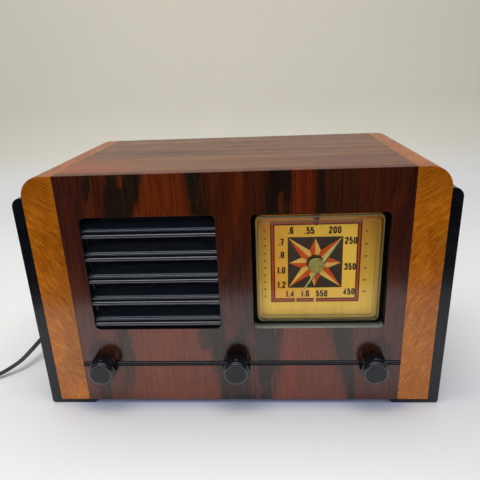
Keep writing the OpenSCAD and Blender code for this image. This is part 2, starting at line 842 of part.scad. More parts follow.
module tuning_shaft() {
    x = knob_xs[2];
    flange_r = drive_r + 1.6;
    side = 3.5;
    color([0.75, 0.74, 0.7]) place() {
        y_rod(x, knob_z, -knob_out + 5.5, apron_y + 12, shaft_r);
        y_rod(x, knob_z, drum_y - side, drum_y + side, drive_r);
        for (y = [drum_y - side - 1, drum_y + side - eps])
            y_rod(x, knob_z, y, y + 1 + eps, flange_r);
    }
}

module tuning_bushing() {
    x = knob_xs[2];
    color([0.7, 0.6, 0.35]) place() difference() {
        union() {
            y_rod(x, knob_z, chassis_y - 4, apron_y + 8, bushing_r);
            y_rod(x, knob_z, apron_y, apron_y + 2, bushing_r + 4);
            y_rod(x, knob_z, chassis_y - 2.4, chassis_y, 7.4, $fn = 6);
        }
        y_rod(x, knob_z, chassis_y - 5, apron_y + 9, shaft_r + run_fit);
    }
}

module chassis() {
    lip_w = chassis_w / 2 - bolt_x + bolt_nut_r + 1.7;
    color([0.66, 0.66, 0.64]) place() difference() {
        union() {
            difference() {
                translate([-chassis_w / 2, chassis_y, chassis_z]) cube([chassis_w, chassis_d, chassis_h]);
                translate([-chassis_w / 2 + sheet_t, chassis_y + sheet_t, chassis_z - 1])
                    cube([chassis_w - 2 * sheet_t, chassis_d - 2 * sheet_t, chassis_h - sheet_t + 1]);
            }
            for (x = [-chassis_w / 2, chassis_w / 2 - lip_w])
                translate([x, chassis_y, chassis_z]) cube([lip_w, chassis_d, sheet_t]);
        }
        for (x = knob_xs) y_rod(x, knob_z, chassis_y - 1, apron_y + 1, bushing_r + 0.2);
        for (k = [0 : len(tube_xs) - 1])
            translate([tube_xs[k], tube_ys[k], deck_z - 5]) cylinder(h = 10, r = base_r - 4);
        bolt_places() translate([0, 0, chassis_z - 1]) cylinder(h = 4, r = bolt_r + part_gap);
    }
}

module chassis_bolts() {
    nut_h = 3;
    color([0.7, 0.7, 0.68]) place() bolt_places() {
        translate([0, 0, -bolt_head_h]) cylinder(h = bolt_head_h, r = bolt_head_r);
        translate([0, 0, -eps]) cylinder(h = wall_t + sheet_t + nut_h + 2, r = bolt_r);
        translate([0, 0, wall_t + sheet_t]) cylinder(h = nut_h, r = bolt_nut_r, $fn = 6);
    }
}

module tube_places() {
    for (k = [0 : len(tube_xs) - 1]) translate([tube_xs[k], tube_ys[k], 0]) children();
}

module tube_sockets() {
    color([0.25, 0.16, 0.1]) place() tube_places() translate([0, 0, deck_z]) difference() {
        cylinder(h = 4, r = socket_r);
        translate([0, 0, socket_t]) cylinder(h = 4, r = base_r + part_gap);
        translate([0, 0, -1]) cylinder(h = 3, r = 4);
    }
}

module tube_bases() {
    color([0.1, 0.07, 0.06]) place() tube_places() translate([0, 0, deck_z + socket_t]) {
        rotate_extrude() polygon([
            [0, 0], [base_r - 1, 0], [base_r, 1], [base_r, base_h - 3],
            [glass_r + 1, base_h - 1], [glass_r + 1, base_h], [0, base_h]
        ]);
        translate([0, 0, -socket_t - 6]) cylinder(h = 6 + socket_t + eps, r = 3.5);
    }
}

module tube_electrodes() {
    plate_r = 6.5;
    plate_h = 26;
    stem_h = 12;
    stem_r = 1.5;
    mica_t = 1;
    mica_r = plate_r + 3;
    color([0.35, 0.35, 0.36]) place() tube_places() translate([0, 0, glass_z]) rotate_extrude() {
        square([stem_r, stem_h + mica_t]);
        translate([0, stem_h]) square([mica_r, mica_t]);
        translate([0, stem_h]) square([plate_r, plate_h + 2 * mica_t]);
        translate([0, stem_h + mica_t + plate_h]) square([mica_r, mica_t]);
    }
}

// A glass bulb open below, standing on its base
module glass_tube(k) {
    wall = 1;
    dome = glass_r;
    color([0.8, 0.85, 0.85, 0.35]) place() translate([tube_xs[k], tube_ys[k], glass_z])
        rotate_extrude() difference() {
            union() {
                square([glass_r, glass_h - dome]);
                translate([0, glass_h - dome]) quarter(dome);
            }
            translate([-1, -1]) square([glass_r - wall + 1, glass_h - dome + 1]);
            translate([0, glass_h - dome]) quarter(dome - wall);
        }
}

module converter_tube() {
    glass_tube(0);
}

module amplifier_tube() {
    glass_tube(1);
}

module detector_tube() {
    glass_tube(2);
}

module output_tube() {
    glass_tube(3);
}

module rectifier_tube() {
    glass_tube(4);
}

module coil_cans() {
    color([0.78, 0.78, 0.76]) place()
        for (x = can_xs) translate([x, can_y, deck_z]) difference() {
            translate([-can_w / 2, -can_w / 2, 0]) cube([can_w, can_w, can_h]);
            translate([-can_w / 2 + 1, -can_w / 2 + 1, -1]) cube([can_w - 2, can_w - 2, can_h]);
            translate([0, 0, can_h - 2]) cylinder(h = 4, r = 3);
        }
}

module filter_capacitor() {
    cap_h = 76;
    color([0.75, 0.74, 0.7]) place() translate([cap_x, can_y, deck_z]) rotate_extrude()
        polygon([
            [0, 0], [cap_r + 2, 0], [cap_r + 2, 2], [cap_r, 2], [cap_r, cap_h - 2],
            [cap_r - 2, cap_h], [0, cap_h]
        ]);
}

cover_w = 2 * inner_x - 1;
cover_h = inner_top - wall_t - 1;
cover_r = 10;
exit_hole_r = 5.5;

module rear_cover() {
    cols = 8;
    vent_pitch_x = (cover_w - 2 * vent_side - vent_len) / (cols - 1);
    color([0.42, 0.3, 0.2]) place() along_y(cover_y, cover_y + cover_t) difference() {
        translate([0, cover_z]) rounded(cover_w, cover_h, cover_r);
        for (c = [0 : cols - 1], row = vent_rows)
            translate([(c - (cols - 1) / 2) * vent_pitch_x, cover_z + row * vent_pitch_z])
                slot(vent_len, vent_w);
        translate([exit_x, exit_z]) circle(r = exit_hole_r + part_gap);
        for (x = [-screw_x, screw_x], z = screw_zs) translate([x, z]) circle(r = screw_r + part_gap);
    }
}

module loop_antenna() {
    wire_t = 3;
    outer_w = 2 * (inner_x - block_w - 13);
    outer_h = 96;
    band = 18;
    color([0.55, 0.3, 0.12]) place() along_y(cover_y - wire_t, cover_y)
        translate([0, cover_z]) difference() {
            rounded(outer_w, outer_h, 14);
            rounded(outer_w - 2 * band, outer_h - 2 * band, 5);
        }
}

module cover_screws() {
    head_r = 4;
    color([0.7, 0.66, 0.5]) place() for (x = [-screw_x, screw_x], z = screw_zs)
        y_turned(x, z) polygon([
            [0, cover_y - screw_len], [screw_r, cover_y - screw_len + 2], [screw_r, cover_y + cover_t],
            [head_r, cover_y + cover_t], [head_r - 0.8, cover_y + cover_t + 1.4],
            [head_r - 2.4, cover_y + cover_t + 2.1], [0, cover_y + cover_t + 2.2]
        ]);
}

relief_end = cover_y + cover_t + 24;

module strain_relief() {
    back = cover_y + cover_t;
    color([0.05, 0.05, 0.05]) place() y_turned(exit_x, exit_z) polygon([
        [0, cover_y - 2.5], [exit_hole_r + 2, cover_y - 2.5], [exit_hole_r + 2, cover_y],
        [exit_hole_r, cover_y], [exit_hole_r, back], [exit_hole_r + 2, back],
        [exit_hole_r + 2, back + 2], [exit_hole_r, back + 3.5], [3.6, relief_end], [0, relief_end]
    ]);
}

// Route of the free cord: across, back from the cabinet front, and up from the table
cord_route = [
    [-120, 214, 48], [-120, 222, 48], [-121, 232, 47.5], [-126, 244, 46.5], [-136, 254, 45.5],
    [-149, 260, 44.5], [-163, 261, 43], [-177, 257, 41.5], [-189, 249, 40], [-199, 238, 38],
    [-207, 225, 36], [-213, 211, 34], [-218, 196, 32], [-222, 180, 30], [-225, 164, 28],
    [-227, 147, 26], [-229, 130, 24], [-231, 113, 22], [-233, 98, 20.5], [-236, 84, 19],
    [-240, 70, 15.5], [-246, 57, 11], [-254, 48, 7.5], [-264, 40, 4.5], [-275, 33, 2.5],
    [-287, 27, 1.6], [-300, 23, 1.5], [-314, 21, 1.5], [-324, 20.4, 1.5], [-330, 20.4, 1.5]
];
coil_mid = [-336, 61.1];
coil_in_turns = 3.5;
coil_turns = 7.25;
coil_steps = 24;
coil_low = 1.5;
plug_low = 7;

function sub(a, b) = [for (i = [0 : 2]) a[i] - b[i]];
function unit(v) = v / norm(v);
function heading(path, i) =
    unit(sub(path[min(i + 1, len(path) - 1)], path[max(i - 1, 0)]));
function side_of(d) = unit([d[1], -d[0], 0]);
function up_of(d) = cross(side_of(d), d);

// Corner k of a flat section with n sides: 1 wide and 1 high at its widest
function corner(k, n) = n == 6
    ? [cos(60 * k), sin(60 * k) / sin(60)]
    : [cos(360 * (k + 0.5) / n), sin(360 * (k + 0.5) / n)] / cos(180 / n);

function ring(path, i, n) =
    let (d = heading(path, i), s = side_of(d), u = up_of(d))
    [for (k = [0 : n - 1])
        path[i] + s * (corner(k, n)[0] * cord_w / 2) + u * (corner(k, n)[1] * cord_t / 2)];

module flat_tube(path, n) {
    last = len(path) - 1;
    points = [for (i = [0 : last]) each ring(path, i, n)];
    sides = [for (i = [0 : last - 1], k = [0 : n - 1])
        let (a = i * n + k, b = i * n + (k + 1) % n)
        each [[a, b, b + n], [a, b + n, a + n]]];
    near_end = [for (k = [1 : n - 2]) [0, k + 1, k]];
    far_end = [for (k = [1 : n - 2]) [last * n, last * n + k, last * n + k + 1]];
    polyhedron(points = points, faces = concat(sides, near_end, far_end));
}

function coil_angle(t) = -90 - 360 * t;
function coil_radius(t) = coil_inner_r + coil_pitch * abs(t - coil_in_turns);
function coil_climb(t) = min(1, max(0, 2 * (t - coil_in_turns) + 0.5));
function coil_point(t) = [
    coil_mid[0] + coil_radius(t) * cos(coil_angle(t)),
    coil_mid[1] + coil_radius(t) * sin(coil_angle(t)),
    coil_low + coil_rise * coil_climb(t)
];
coil_top = coil_low + coil_rise;
coil_end = coil_point(coil_turns);
coil_path = concat(
    [coil_point(0) + [cord_w, 0, 0]],
    [for (i = [0 : coil_turns * coil_steps]) coil_point(i / coil_steps)],
    [coil_end + [0, 8, 0.4], coil_end + [0, 16, 1.4], coil_end + [0, 23, plug_low - coil_top],
     coil_end + [0, 29, plug_low - coil_top]]
);

// Least gap between rings of the coil that are at least half a turn apart
coil_rings = [for (i = [0 : len(coil_path) - 1]) ring(coil_path, i, 6)];
function ring_gap(a, b) = min([for (p = a, q = b) norm(p - q)]);
coil_gap = min([
    for (i = [0 : len(coil_rings) - 1], j = [i + coil_steps / 2 : 1 : len(coil_rings) - 1])
        if (norm(coil_path[i] - coil_path[j]) < 3 * cord_w) ring_gap(coil_rings[i], coil_rings[j])
]);
function path_len(path) = len(path) < 2 ? 0
    : [for (i = [1 : len(path) - 1]) norm(path[i] - path[i - 1])] * [for (i = [1 : len(path) - 1]) 1];
echo(coil_gap = coil_gap, cord_length = path_len(cord_route) + path_len(coil_path));

module power_cord() {
    color([0.08, 0.05, 0.04]) translate([0, front_y, 0]) flat_tube(cord_route, 8);
}

module cord_coil() {
    color([0.08, 0.05, 0.04]) translate([0, front_y, 0]) flat_tube(coil_path, 6);
}

module plug() {
    body_w = 26;
    body_l = 30;
    body_h = 2 * plug_low;
    pin_gap = 12.7;
    pin_w = 6.3;
    pin_t = 1.5;
    pin_l = 16;
    color([0.06, 0.05, 0.05]) translate([coil_end[0], front_y + coil_end[1] + 29, 0]) {
        translate([0, 0, plug_low]) difference() {
            translate([0, body_l, 0]) rotate([90, 0, 0]) linear_extrude(body_l)
                rounded(body_w, body_h, 5);
            for (s = [-1, 1]) translate([s * (body_w / 2 + 6), -8, -body_h])
                cylinder(h = 2 * body_h, r = 12);
        }
        for (s = [-1, 1])
            translate([s * pin_gap / 2 - pin_t / 2, body_l - eps, plug_low - pin_w / 2])
                cube([pin_t, pin_l, pin_w]);
    }
}

front_panel();
left_stripe();
right_stripe();
left_side();
right_side();
top_panel();
bottom_board();
left_rail();
right_rail();
panel_bead();
glue_blocks();
back_cleats();
louvre_grille();
grille_cloth();
speaker_baffle();
speaker_basket();
speaker_cone();
speaker_magnet();
output_transformer();
dial_lens();
dial_mask();
dial_plate();
dial_bracket();
dial_pointer();
dial_drum();
dial_cord();
dial_lamp();
lamp_holder();
gang_bracket();
gang_frame();
gang_stators();
gang_rotor();
tuning_shaft();
tuning_bushing();
tuning_knob();
volume_knob();
volume_shaft();
volume_control();
tone_knob();
tone_shaft();
tone_control();
chassis();
chassis_bolts();
tube_sockets();
tube_bases();
tube_electrodes();
converter_tube();
amplifier_tube();
detector_tube();
output_tube();
rectifier_tube();
coil_cans();
filter_capacitor();
rear_cover();
loop_antenna();
cover_screws();
strain_relief();
power_cord();
cord_coil();
plug();
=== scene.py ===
import json
import math

import bmesh
import bpy
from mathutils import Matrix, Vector

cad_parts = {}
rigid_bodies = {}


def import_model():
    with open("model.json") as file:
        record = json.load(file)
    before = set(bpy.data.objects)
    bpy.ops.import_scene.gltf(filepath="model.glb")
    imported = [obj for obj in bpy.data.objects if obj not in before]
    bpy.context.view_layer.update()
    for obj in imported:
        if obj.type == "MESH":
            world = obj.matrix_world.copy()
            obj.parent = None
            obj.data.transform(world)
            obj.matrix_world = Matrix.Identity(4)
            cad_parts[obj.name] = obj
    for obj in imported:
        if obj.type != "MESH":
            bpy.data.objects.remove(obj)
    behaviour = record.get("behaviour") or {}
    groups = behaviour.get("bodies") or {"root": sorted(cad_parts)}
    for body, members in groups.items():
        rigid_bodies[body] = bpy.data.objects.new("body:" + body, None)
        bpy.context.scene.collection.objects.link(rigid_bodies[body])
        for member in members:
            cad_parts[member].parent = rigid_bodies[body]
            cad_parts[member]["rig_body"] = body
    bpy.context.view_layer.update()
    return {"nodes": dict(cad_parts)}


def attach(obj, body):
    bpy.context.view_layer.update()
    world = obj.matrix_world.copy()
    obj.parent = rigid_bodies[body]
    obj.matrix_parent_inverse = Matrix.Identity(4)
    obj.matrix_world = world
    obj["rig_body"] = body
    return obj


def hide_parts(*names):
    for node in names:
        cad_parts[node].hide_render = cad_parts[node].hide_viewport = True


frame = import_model()
cadNodes = frame["nodes"]
scene = bpy.context.scene
mm = 0.001
frontY = -89.5  # the cabinet's front face in the part's frame, in millimetres
footHeight = 4.0
knobPlaces = (-127.5, -2.0, 123.5)  # volume, tone and tuning, across the front
knobHeight = 41.3


def at(x, y, z):  # millimetres across, behind the front face and above the cabinet's underside
    return Vector((x * mm, (y + frontY) * mm, (z + footHeight) * mm))


def paint(red, green, blue):  # a colour as it looks on a screen, made linear
    return tuple(
        (c / 12.92 if c <= 0.04045 else ((c + 0.055) / 1.055) ** 2.4)
        for c in (red / 255, green / 255, blue / 255)
    ) + (1.0,)


# camera
cameraSet = {
    "place": (0.02890, -0.465193, 0.307139),
    "turn": (69.816064, 2.180848, 2.749614),  # degrees about X, Y and Z
    "lens": 35.333,
}
cameraData = bpy.data.cameras.new("camera")
cameraData.lens = cameraSet["lens"]
cameraData.sensor_width = 36
cameraData.clip_start = 0.01
camera = bpy.data.objects.new("camera", cameraData)
camera.location = cameraSet["place"]
camera.rotation_euler = [math.radians(a) for a in cameraSet["turn"]]
scene.collection.objects.link(camera)
scene.camera = camera
print("camera placed")


# node wiring, shared by the materials and the geometry trees
class Wiring:
    def __init__(self, tree):
        self.tree = tree

    def give(self, socket, value):
        if isinstance(value, bpy.types.NodeSocket):
            self.tree.links.new(value, socket)
        elif value is not None:
            socket.default_value = value

    def add(self, kind, given=None, **settings):
        node = self.tree.nodes.new(kind)
        for name, value in settings.items():
            setattr(node, name, value)
        return self.fill(node, given or {})

    def fill(self, node, values):
        for key, value in values.items():
            self.give(node.inputs[key], value)
        return node

    def math(self, operation, *values, clamp=False):
        node = self.add("ShaderNodeMath", operation=operation, use_clamp=clamp)
        for socket, value in zip(node.inputs, values):
            self.give(socket, value)
        return node.outputs[0]

    def plus(self, first, second, clamp=False):
        return self.math("ADD", first, second, clamp=clamp)

    def minus(self, first, second):
        return self.math("SUBTRACT", first, second)

    def times(self, first, second):
        return self.math("MULTIPLY", first, second)

    def most(self, first, second):
        return self.math("MAXIMUM", first, second)

    def split(self, vector):
        return self.add("ShaderNodeSeparateXYZ", {0: vector}).outputs

    def join(self, x, y, z):
        return self.add("ShaderNodeCombineXYZ", {0: x, 1: y, 2: z}).outputs[0]

    def moved(self, vector, scale=(1, 1, 1), turn=(0, 0, 0), shift=(0, 0, 0)):
        turn = [math.radians(a) for a in turn]
        given = {"Vector": vector, "Scale": scale, "Rotation": turn, "Location": shift}
        return self.add("ShaderNodeMapping", given).outputs[0]

    def noise(self, vector, scale=1.0, detail=2.0, roughness=0.5, distortion=0.0):
        given = {"Vector": vector, "Scale": scale, "Detail": detail}
        given.update({"Roughness": roughness, "Distortion": distortion})
        return self.add("ShaderNodeTexNoise", given).outputs["Fac"]

    def spread(self, value, low, high, toLow=0.0, toHigh=1.0, soft=True):
        kind = "SMOOTHSTEP" if soft else "LINEAR"
        given = {"Value": value, "From Min": low, "From Max": high}
        given.update({"To Min": toLow, "To Max": toHigh})
        return self.add("ShaderNodeMapRange", given, interpolation_type=kind).outputs[0]

    def ramp(self, value, stops):
        node = self.add("ShaderNodeValToRGB", {"Fac": value})
        ramp = node.color_ramp
        ramp.interpolation = "LINEAR"
        while len(ramp.elements) < len(stops):
            ramp.elements.new(1.0)
        for element, (place, colour) in zip(ramp.elements, stops):
            element.position = place
            element.color = colour
        return node.outputs["Color"]

    def mixed(self, share, first, second, blend="MIX"):
        node = self.add("ShaderNodeMix", data_type="RGBA", blend_type=blend)
        return self.fill(node, {0: share, 6: first, 7: second}).outputs[2]

    def shaded(self, colour, value):  # the colour times a grey
        return self.mixed(1.0, colour, self.join(value, value, value), "MULTIPLY")

    def curve(self, value, points):  # points run from 0 to 1 both ways
        node = self.add("ShaderNodeFloatCurve", {"Value": value})
        line = node.mapping.curves[0]
        line.points[0].location = points[0]
        line.points[1].location = points[-1]
        for x, y in points[1:-1]:
            line.points.new(x, y)
        for point in line.points:
            point.handle_type = "VECTOR"
        node.mapping.update()
        return node.outputs[0]

    def bump(self, height, strength, distance):  # distance in metres
        given = {"Height": height, "Strength": strength, "Distance": distance}
        return self.add("ShaderNodeBump", given).outputs[0]


def newGroup(name, kind, inputs, outputs):
    tree = bpy.data.node_groups.new(name, kind)
    for label, socketType, value in inputs:
        socket = tree.interface.new_socket(label, in_out="INPUT", socket_type=socketType)
        if value is not None:
            socket.default_value = value
    for label, socketType in outputs:
        tree.interface.new_socket(label, in_out="OUTPUT", socket_type=socketType)
    w = Wiring(tree)
    return tree, w, w.add("NodeGroupInput").outputs, w.add("NodeGroupOutput")


# shader groups
number, vector3 = "NodeSocketFloat", "NodeSocketVector"


def makeWoodGrain():  # the given vector is in millimetres, with the grain along its Z
    tree, w, given, out = newGroup(
        "woodGrain", "ShaderNodeTree",
        [("Vector", vector3, None), ("Fineness", number, 1.0), ("Wander", number, 4.0)],
        [("Fibre", number), ("Pores", number), ("Mottle", number), ("Flame", number), ("Height", number)],
    )
    slow = w.noise(w.moved(given["Vector"], (0.02, 0.02, 0.010)), 1.0, 2.0)
    x, y, z = w.split(given["Vector"])
    bent = w.plus(x, w.times(w.minus(slow, 0.5), given["Wander"]))
    fine = w.times(bent, given["Fineness"])
    fineY = w.times(y, given["Fineness"])
    fibre = w.noise(w.moved(w.join(fine, fineY, z), (0.74, 0.74, 0.016)), 1.0, 5.0, 0.68)
    pore = w.noise(w.moved(w.join(fine, fineY, z), (1.9, 1.9, 0.07)), 1.0, 2.0)
    pores = w.spread(pore, 0.58, 0.70)
    mottle = w.noise(w.moved(w.join(bent, y, z), (0.10, 0.10, 0.020)), 1.0, 4.0, 0.62, 0.6)
    flame = w.noise(w.moved(w.join(bent, y, z), (0.21, 0.21, 0.055)), 1.0, 5.0, 0.64, 1.6)
    height = w.minus(w.times(fibre, 0.6), w.times(pores, 0.5))
    w.fill(out, {"Fibre": fibre, "Pores": pores, "Mottle": mottle, "Flame": flame, "Height": height})
    return tree


def makeHandled():  # rubbed patches, dust and hairlines of something that has been used for decades
    tree, w, given, out = newGroup(
        "handledSurface", "ShaderNodeTree",
        [("Vector", vector3, None), ("Scale", number, 1.0)],
        [("Smudge", number), ("Speck", number), ("Hairline", number), ("Height", number)],
    )
    scaled = {0: given["Vector"], "Scale": given["Scale"]}
    place = w.add("ShaderNodeVectorMath", scaled, operation="SCALE").outputs[0]
    smudge = w.spread(w.noise(place, 0.045, 5.0, 0.62, 0.8), 0.32, 0.68)
    speck = w.spread(w.noise(place, 1.1, 2.0), 0.70, 0.78)
    one = w.noise(w.moved(place, (0.9, 0.9, 0.02), (0, 32, 8)), 1.0, 2.0)
    two = w.noise(w.moved(place, (0.02, 0.7, 0.9), (24, -40, 0)), 1.0, 2.0)
    hairline = w.plus(w.spread(one, 0.71, 0.75), w.spread(two, 0.71, 0.75), clamp=True)
    grit = w.noise(place, 2.2, 3.0)
    height = w.minus(grit, w.times(hairline, 0.5))
    w.fill(out, {"Smudge": smudge, "Speck": speck, "Hairline": hairline, "Height": height})
    return tree


woodGrain = makeWoodGrain()
handledSurface = makeHandled()


def millimetres(w):  # where a point of the piece is, as at() counts it
    place = w.add("ShaderNodeTexCoord").outputs["Object"]
    return w.moved(place, (1000, 1000, 1000), shift=(0, -frontY, -footHeight))


def newMaterial(name, **plain):  # the plain numbers go straight onto the shader
    material = bpy.data.materials.new(name)
    material.use_nodes = True
    material.node_tree.nodes.clear()
    w = Wiring(material.node_tree)
    plain = {key.replace("_", " "): value for key, value in plain.items()}
    shader = w.add("ShaderNodeBsdfPrincipled", plain)
    out = w.add("ShaderNodeOutputMaterial", {"Surface": shader.outputs[0]})
    return material, w, shader, millimetres(w), out


def grain(w, place, fineness=1.0, wander=4.0):
    given = {"Vector": place, "Fineness": fineness, "Wander": wander}
    return w.add("ShaderNodeGroup", given, node_tree=woodGrain).outputs


def handled(w, place, scale=1.0):
    return w.add("ShaderNodeGroup", {"Vector": place, "Scale": scale}, node_tree=handledSurface).outputs


def upwardness(w):  # 1 where the surface faces up
    return w.split(w.add("ShaderNodeNewGeometry").outputs["Normal"])[2]


# woods
# the front veneer's bands: where each share of the colours stands at the top and at the bottom, in
# millimetres from the middle
bandSet = {
    "share": [0.0, 0.10, 0.20, 0.42, 0.46, 0.60, 0.68, 0.80, 0.84, 1.0],
    "top": [-149.5, -130, -107, -35, -26, 32, 50.5, 69, 74, 149.5],
    "bottom": [-149.5, -138, -108, -16, -12, 8, 30, 102, 110, 149.5],
    "high": 215, "low": 5, "half": 149.5,
    "colours": [
        (0.00, (70, 32, 24)), (0.05, (82, 36, 22)), (0.10, (64, 29, 22)), (0.14, (92, 40, 17)),
        (0.185, (72, 32, 17)), (0.21, (104, 43, 14)), (0.30, (118, 47, 13)), (0.405, (108, 43, 13)),
        (0.42, (34, 24, 15)), (0.452, (40, 26, 15)), (0.475, (72, 30, 12)), (0.53, (84, 33, 11)),
        (0.585, (70, 29, 12)), (0.605, (31, 21, 13)), (0.672, (36, 23, 14)), (0.69, (118, 42, 13)),
        (0.74, (108, 38, 12)), (0.792, (100, 36, 13)), (0.806, (33, 22, 14)), (0.834, (38, 24, 14)),
        (0.85, (76, 34, 13)), (0.91, (80, 34, 13)), (0.96, (72, 29, 15)), (1.0, (62, 26, 18)),
    ],
    # patches with feathered edges: middle across, middle up, half width, half height, lean, and how dark
    "patches": [
        (-90.5, 214, 15.5, 46, 0.26, 0.96), (-120.5, 216, 3.6, 15, 0.10, 0.9),
        (-106, 60, 6.8, 46, -0.02, 0.8), (-132, 12, 6, 30, 0.0, 0.75), (-30, 72, 7.5, 17, 0.05, 0.85),
        (92, 205, 12, 38, 0.0, 0.35), (1, 84, 13, 80, 0.04, 0.55), (11, 28, 26, 70, 0.10, 0.85),
        (126, 40, 12, 60, 0.0, 0.35),
    ],
    "bright": [
        (-92, 219, 3.2, 6.5, 0.0, 0.75), (41, 196, 3.0, 11, 0.0, 0.55), (5, 203, 4.0, 26, 0.12, 0.5),
        (12, 40, 5.0, 40, 0.0, 0.3),
    ],
    "grip": (51, 17, 0.72),  # painted shade: how high, how wide and how dark the shade round each knob is
}


def feathered(w, x, z, patch):  # 1 inside an upright leaf shape, 0 outside
    middle, up, wide, tall, lean, depth = patch
    across = w.minus(x, w.math("MULTIPLY_ADD", z, lean, middle - lean * up))
    u, v = w.math("DIVIDE", across, wide), w.math("DIVIDE", w.minus(z, up), tall)
    away = w.plus(w.times(u, u), w.times(v, v))
    return w.spread(away, 1.35, 0.65, 0.0, depth)


def makeVeneer():
    material, w, shader, place, _ = newMaterial(
        "figuredVeneer", Coat_Roughness=0.17, Coat_IOR=1.64, Specular_IOR_Level=0.04)
    woody = grain(w, place, 1.0, 7.0)
    x, _, z = w.split(place)
    ragged = w.times(w.minus(woody["Fibre"], 0.5), 11.0)
    ragged = w.plus(ragged, w.times(w.minus(woody["Flame"], 0.5), 9.0))
    ragged = w.plus(x, ragged)
    half = bandSet["half"]
    across = w.spread(ragged, -half, half, soft=False)
    mapped = []
    for name in ("top", "bottom"):
        ends = [((v + half) / (2 * half), share) for v, share in zip(bandSet[name], bandSet["share"])]
        mapped.append(w.curve(across, ends))
    low = w.spread(z, bandSet["high"], bandSet["low"], soft=False)
    band = w.plus(w.times(mapped[0], w.minus(1.0, low)), w.times(mapped[1], low))
    colour = w.ramp(band, [(share, paint(*c)) for share, c in bandSet["colours"]])
    for name, tint in (("patches", (36, 25, 17)), ("bright", (112, 46, 13))):
        share = 0.0
        for patch in bandSet[name]:
            share = w.most(feathered(w, ragged, z, patch), share)
        colour = w.mixed(share, colour, paint(*tint))
    cloud = w.spread(woody["Flame"], 0.50, 0.64)
    clouded = w.mixed(1.0, colour, (0.42, 0.48, 0.62, 1), "MULTIPLY")
    colour = w.mixed(w.times(cloud, 0.45), colour, clouded)
    ember = w.times(w.spread(woody["Mottle"], 0.52, 0.68), 0.22)
    colour = w.mixed(ember, colour, paint(118, 48, 14))
    streak = w.spread(woody["Fibre"], 0.38, 0.62, 0.68, 1.34)
    colour = w.shaded(colour, streak)
    colour = w.mixed(w.times(woody["Pores"], 0.5), colour, paint(22, 12, 7))
    # painted reflection of the table: the lower half is made paler, but not its dark figure
    pale = w.spread(w.split(colour)[0], 0.07, 0.025, 1.0, 0.15)
    tableVeil = w.times(w.spread(z, 165, 95), pale)
    colour = w.mixed(w.times(tableVeil, 0.085), colour, paint(196, 108, 80))
    knobShadeMask = 0.0
    high, reach, depth = bandSet["grip"]
    for middle in knobPlaces:  # painted shade: the knobs' shadows and reflections darken the wood round them
        knobShadeMask = w.most(feathered(w, x, z, (middle + 2, high, reach, reach, 0.0, depth)), knobShadeMask)
    colour = w.mixed(knobShadeMask, colour, w.mixed(1.0, colour, (0.28, 0.26, 0.3, 1), "MULTIPLY"))
    worn = handled(w, place)
    upward = upwardness(w)
    dull = w.spread(upward, 0.2, 0.8, 1.0, 0.2)
    w.fill(shader, {
        "Base Color": w.mixed(w.spread(upward, 0.3, 0.9, 0.0, 0.6), colour, paint(96, 58, 44)),
        "Roughness": w.spread(woody["Fibre"], 0.2, 0.8, 0.34, 0.5),
        "Coat Weight": w.times(w.spread(worn["Smudge"], 0, 1, 0.92, 1.0), dull),
        "Normal": w.bump(woody["Height"], 0.10, 0.0002)})
    return material


def makeLightWood(name, alongDepth=False):
    material, w, shader, place, _ = newMaterial(name, Coat_Roughness=0.17, Specular_IOR_Level=0.06)
    x, y, z = w.split(place)
    if alongDepth:  # the sides: the grain runs from front to back
        path = w.join(w.plus(x, z), z, y)
        curl = w.noise(w.moved(place, (0.22, 0.05, 0.22), (0, 0, 28)), 1.0, 4.0, 0.62, 0.5)
    else:  # the two stripes mirror each other, with the figure leaning inwards at the foot
        across = w.math("ABSOLUTE", x)
        drift = w.times(w.minus(w.noise(place, 0.018, 2.0), 0.5), 9.0)
        above = w.most(w.minus(z, 150.0), 0.0)
        drift = w.minus(drift, w.times(w.times(above, above), 0.009))
        path = w.moved(w.join(w.plus(across, drift), y, z), turn=(0, -30, 0))
        curl = w.noise(w.moved(path, (0.30, 0.3, 0.16)), 1.0, 5.0, 0.66, 0.7)
    woody = grain(w, path, 0.9, 3.0)
    hairs = w.noise(w.moved(path, (1.9, 0.8, 0.055)), 1.0, 4.0, 0.72)
    figure = w.plus(w.times(hairs, 0.78), w.times(curl, 0.22))
    colour = w.ramp(figure, [
        (0.36, paint(116, 48, 4)), (0.45, paint(172, 86, 7)), (0.50, paint(196, 104, 9)),
        (0.55, paint(210, 120, 20)), (0.63, paint(240, 164, 60))])
    patch = w.spread(w.noise(w.moved(place, (0.03, 0.03, 0.02)), 1.0, 3.0), 0.35, 0.65, 0.82, 1.14)
    colour = w.shaded(colour, patch)
    dots = w.spread(w.noise(w.moved(path, (0.42, 0.42, 0.2)), 1.0, 2.0), 0.66, 0.72)
    pitted = w.times(w.plus(woody["Pores"], dots, clamp=True), 0.38)
    colour = w.mixed(pitted, colour, paint(86, 38, 8))
    # painted reflection of the table: the lower part is made paler
    tableVeil = w.times(w.spread(z, 150, 70), 0.12)
    colour = w.mixed(tableVeil, colour, paint(206, 150, 96))
    upward = upwardness(w)
    worn = handled(w, place)
    dull = w.spread(upward, 0.2, 0.8, 1.0, 0.34)  # dust has dulled what faces up
    w.fill(shader, {
        "Base Color": w.mixed(w.spread(upward, 0.3, 0.9, 0.0, 0.62), colour, paint(96, 56, 38)),
        "Roughness": w.spread(figure, 0.3, 0.7, 0.46, 0.34),
        "Coat Weight": w.times(w.spread(worn["Smudge"], 0, 1, 0.75, 0.95), dull),
        "Normal": w.bump(woody["Height"], 0.10, 0.0002)})
    return material


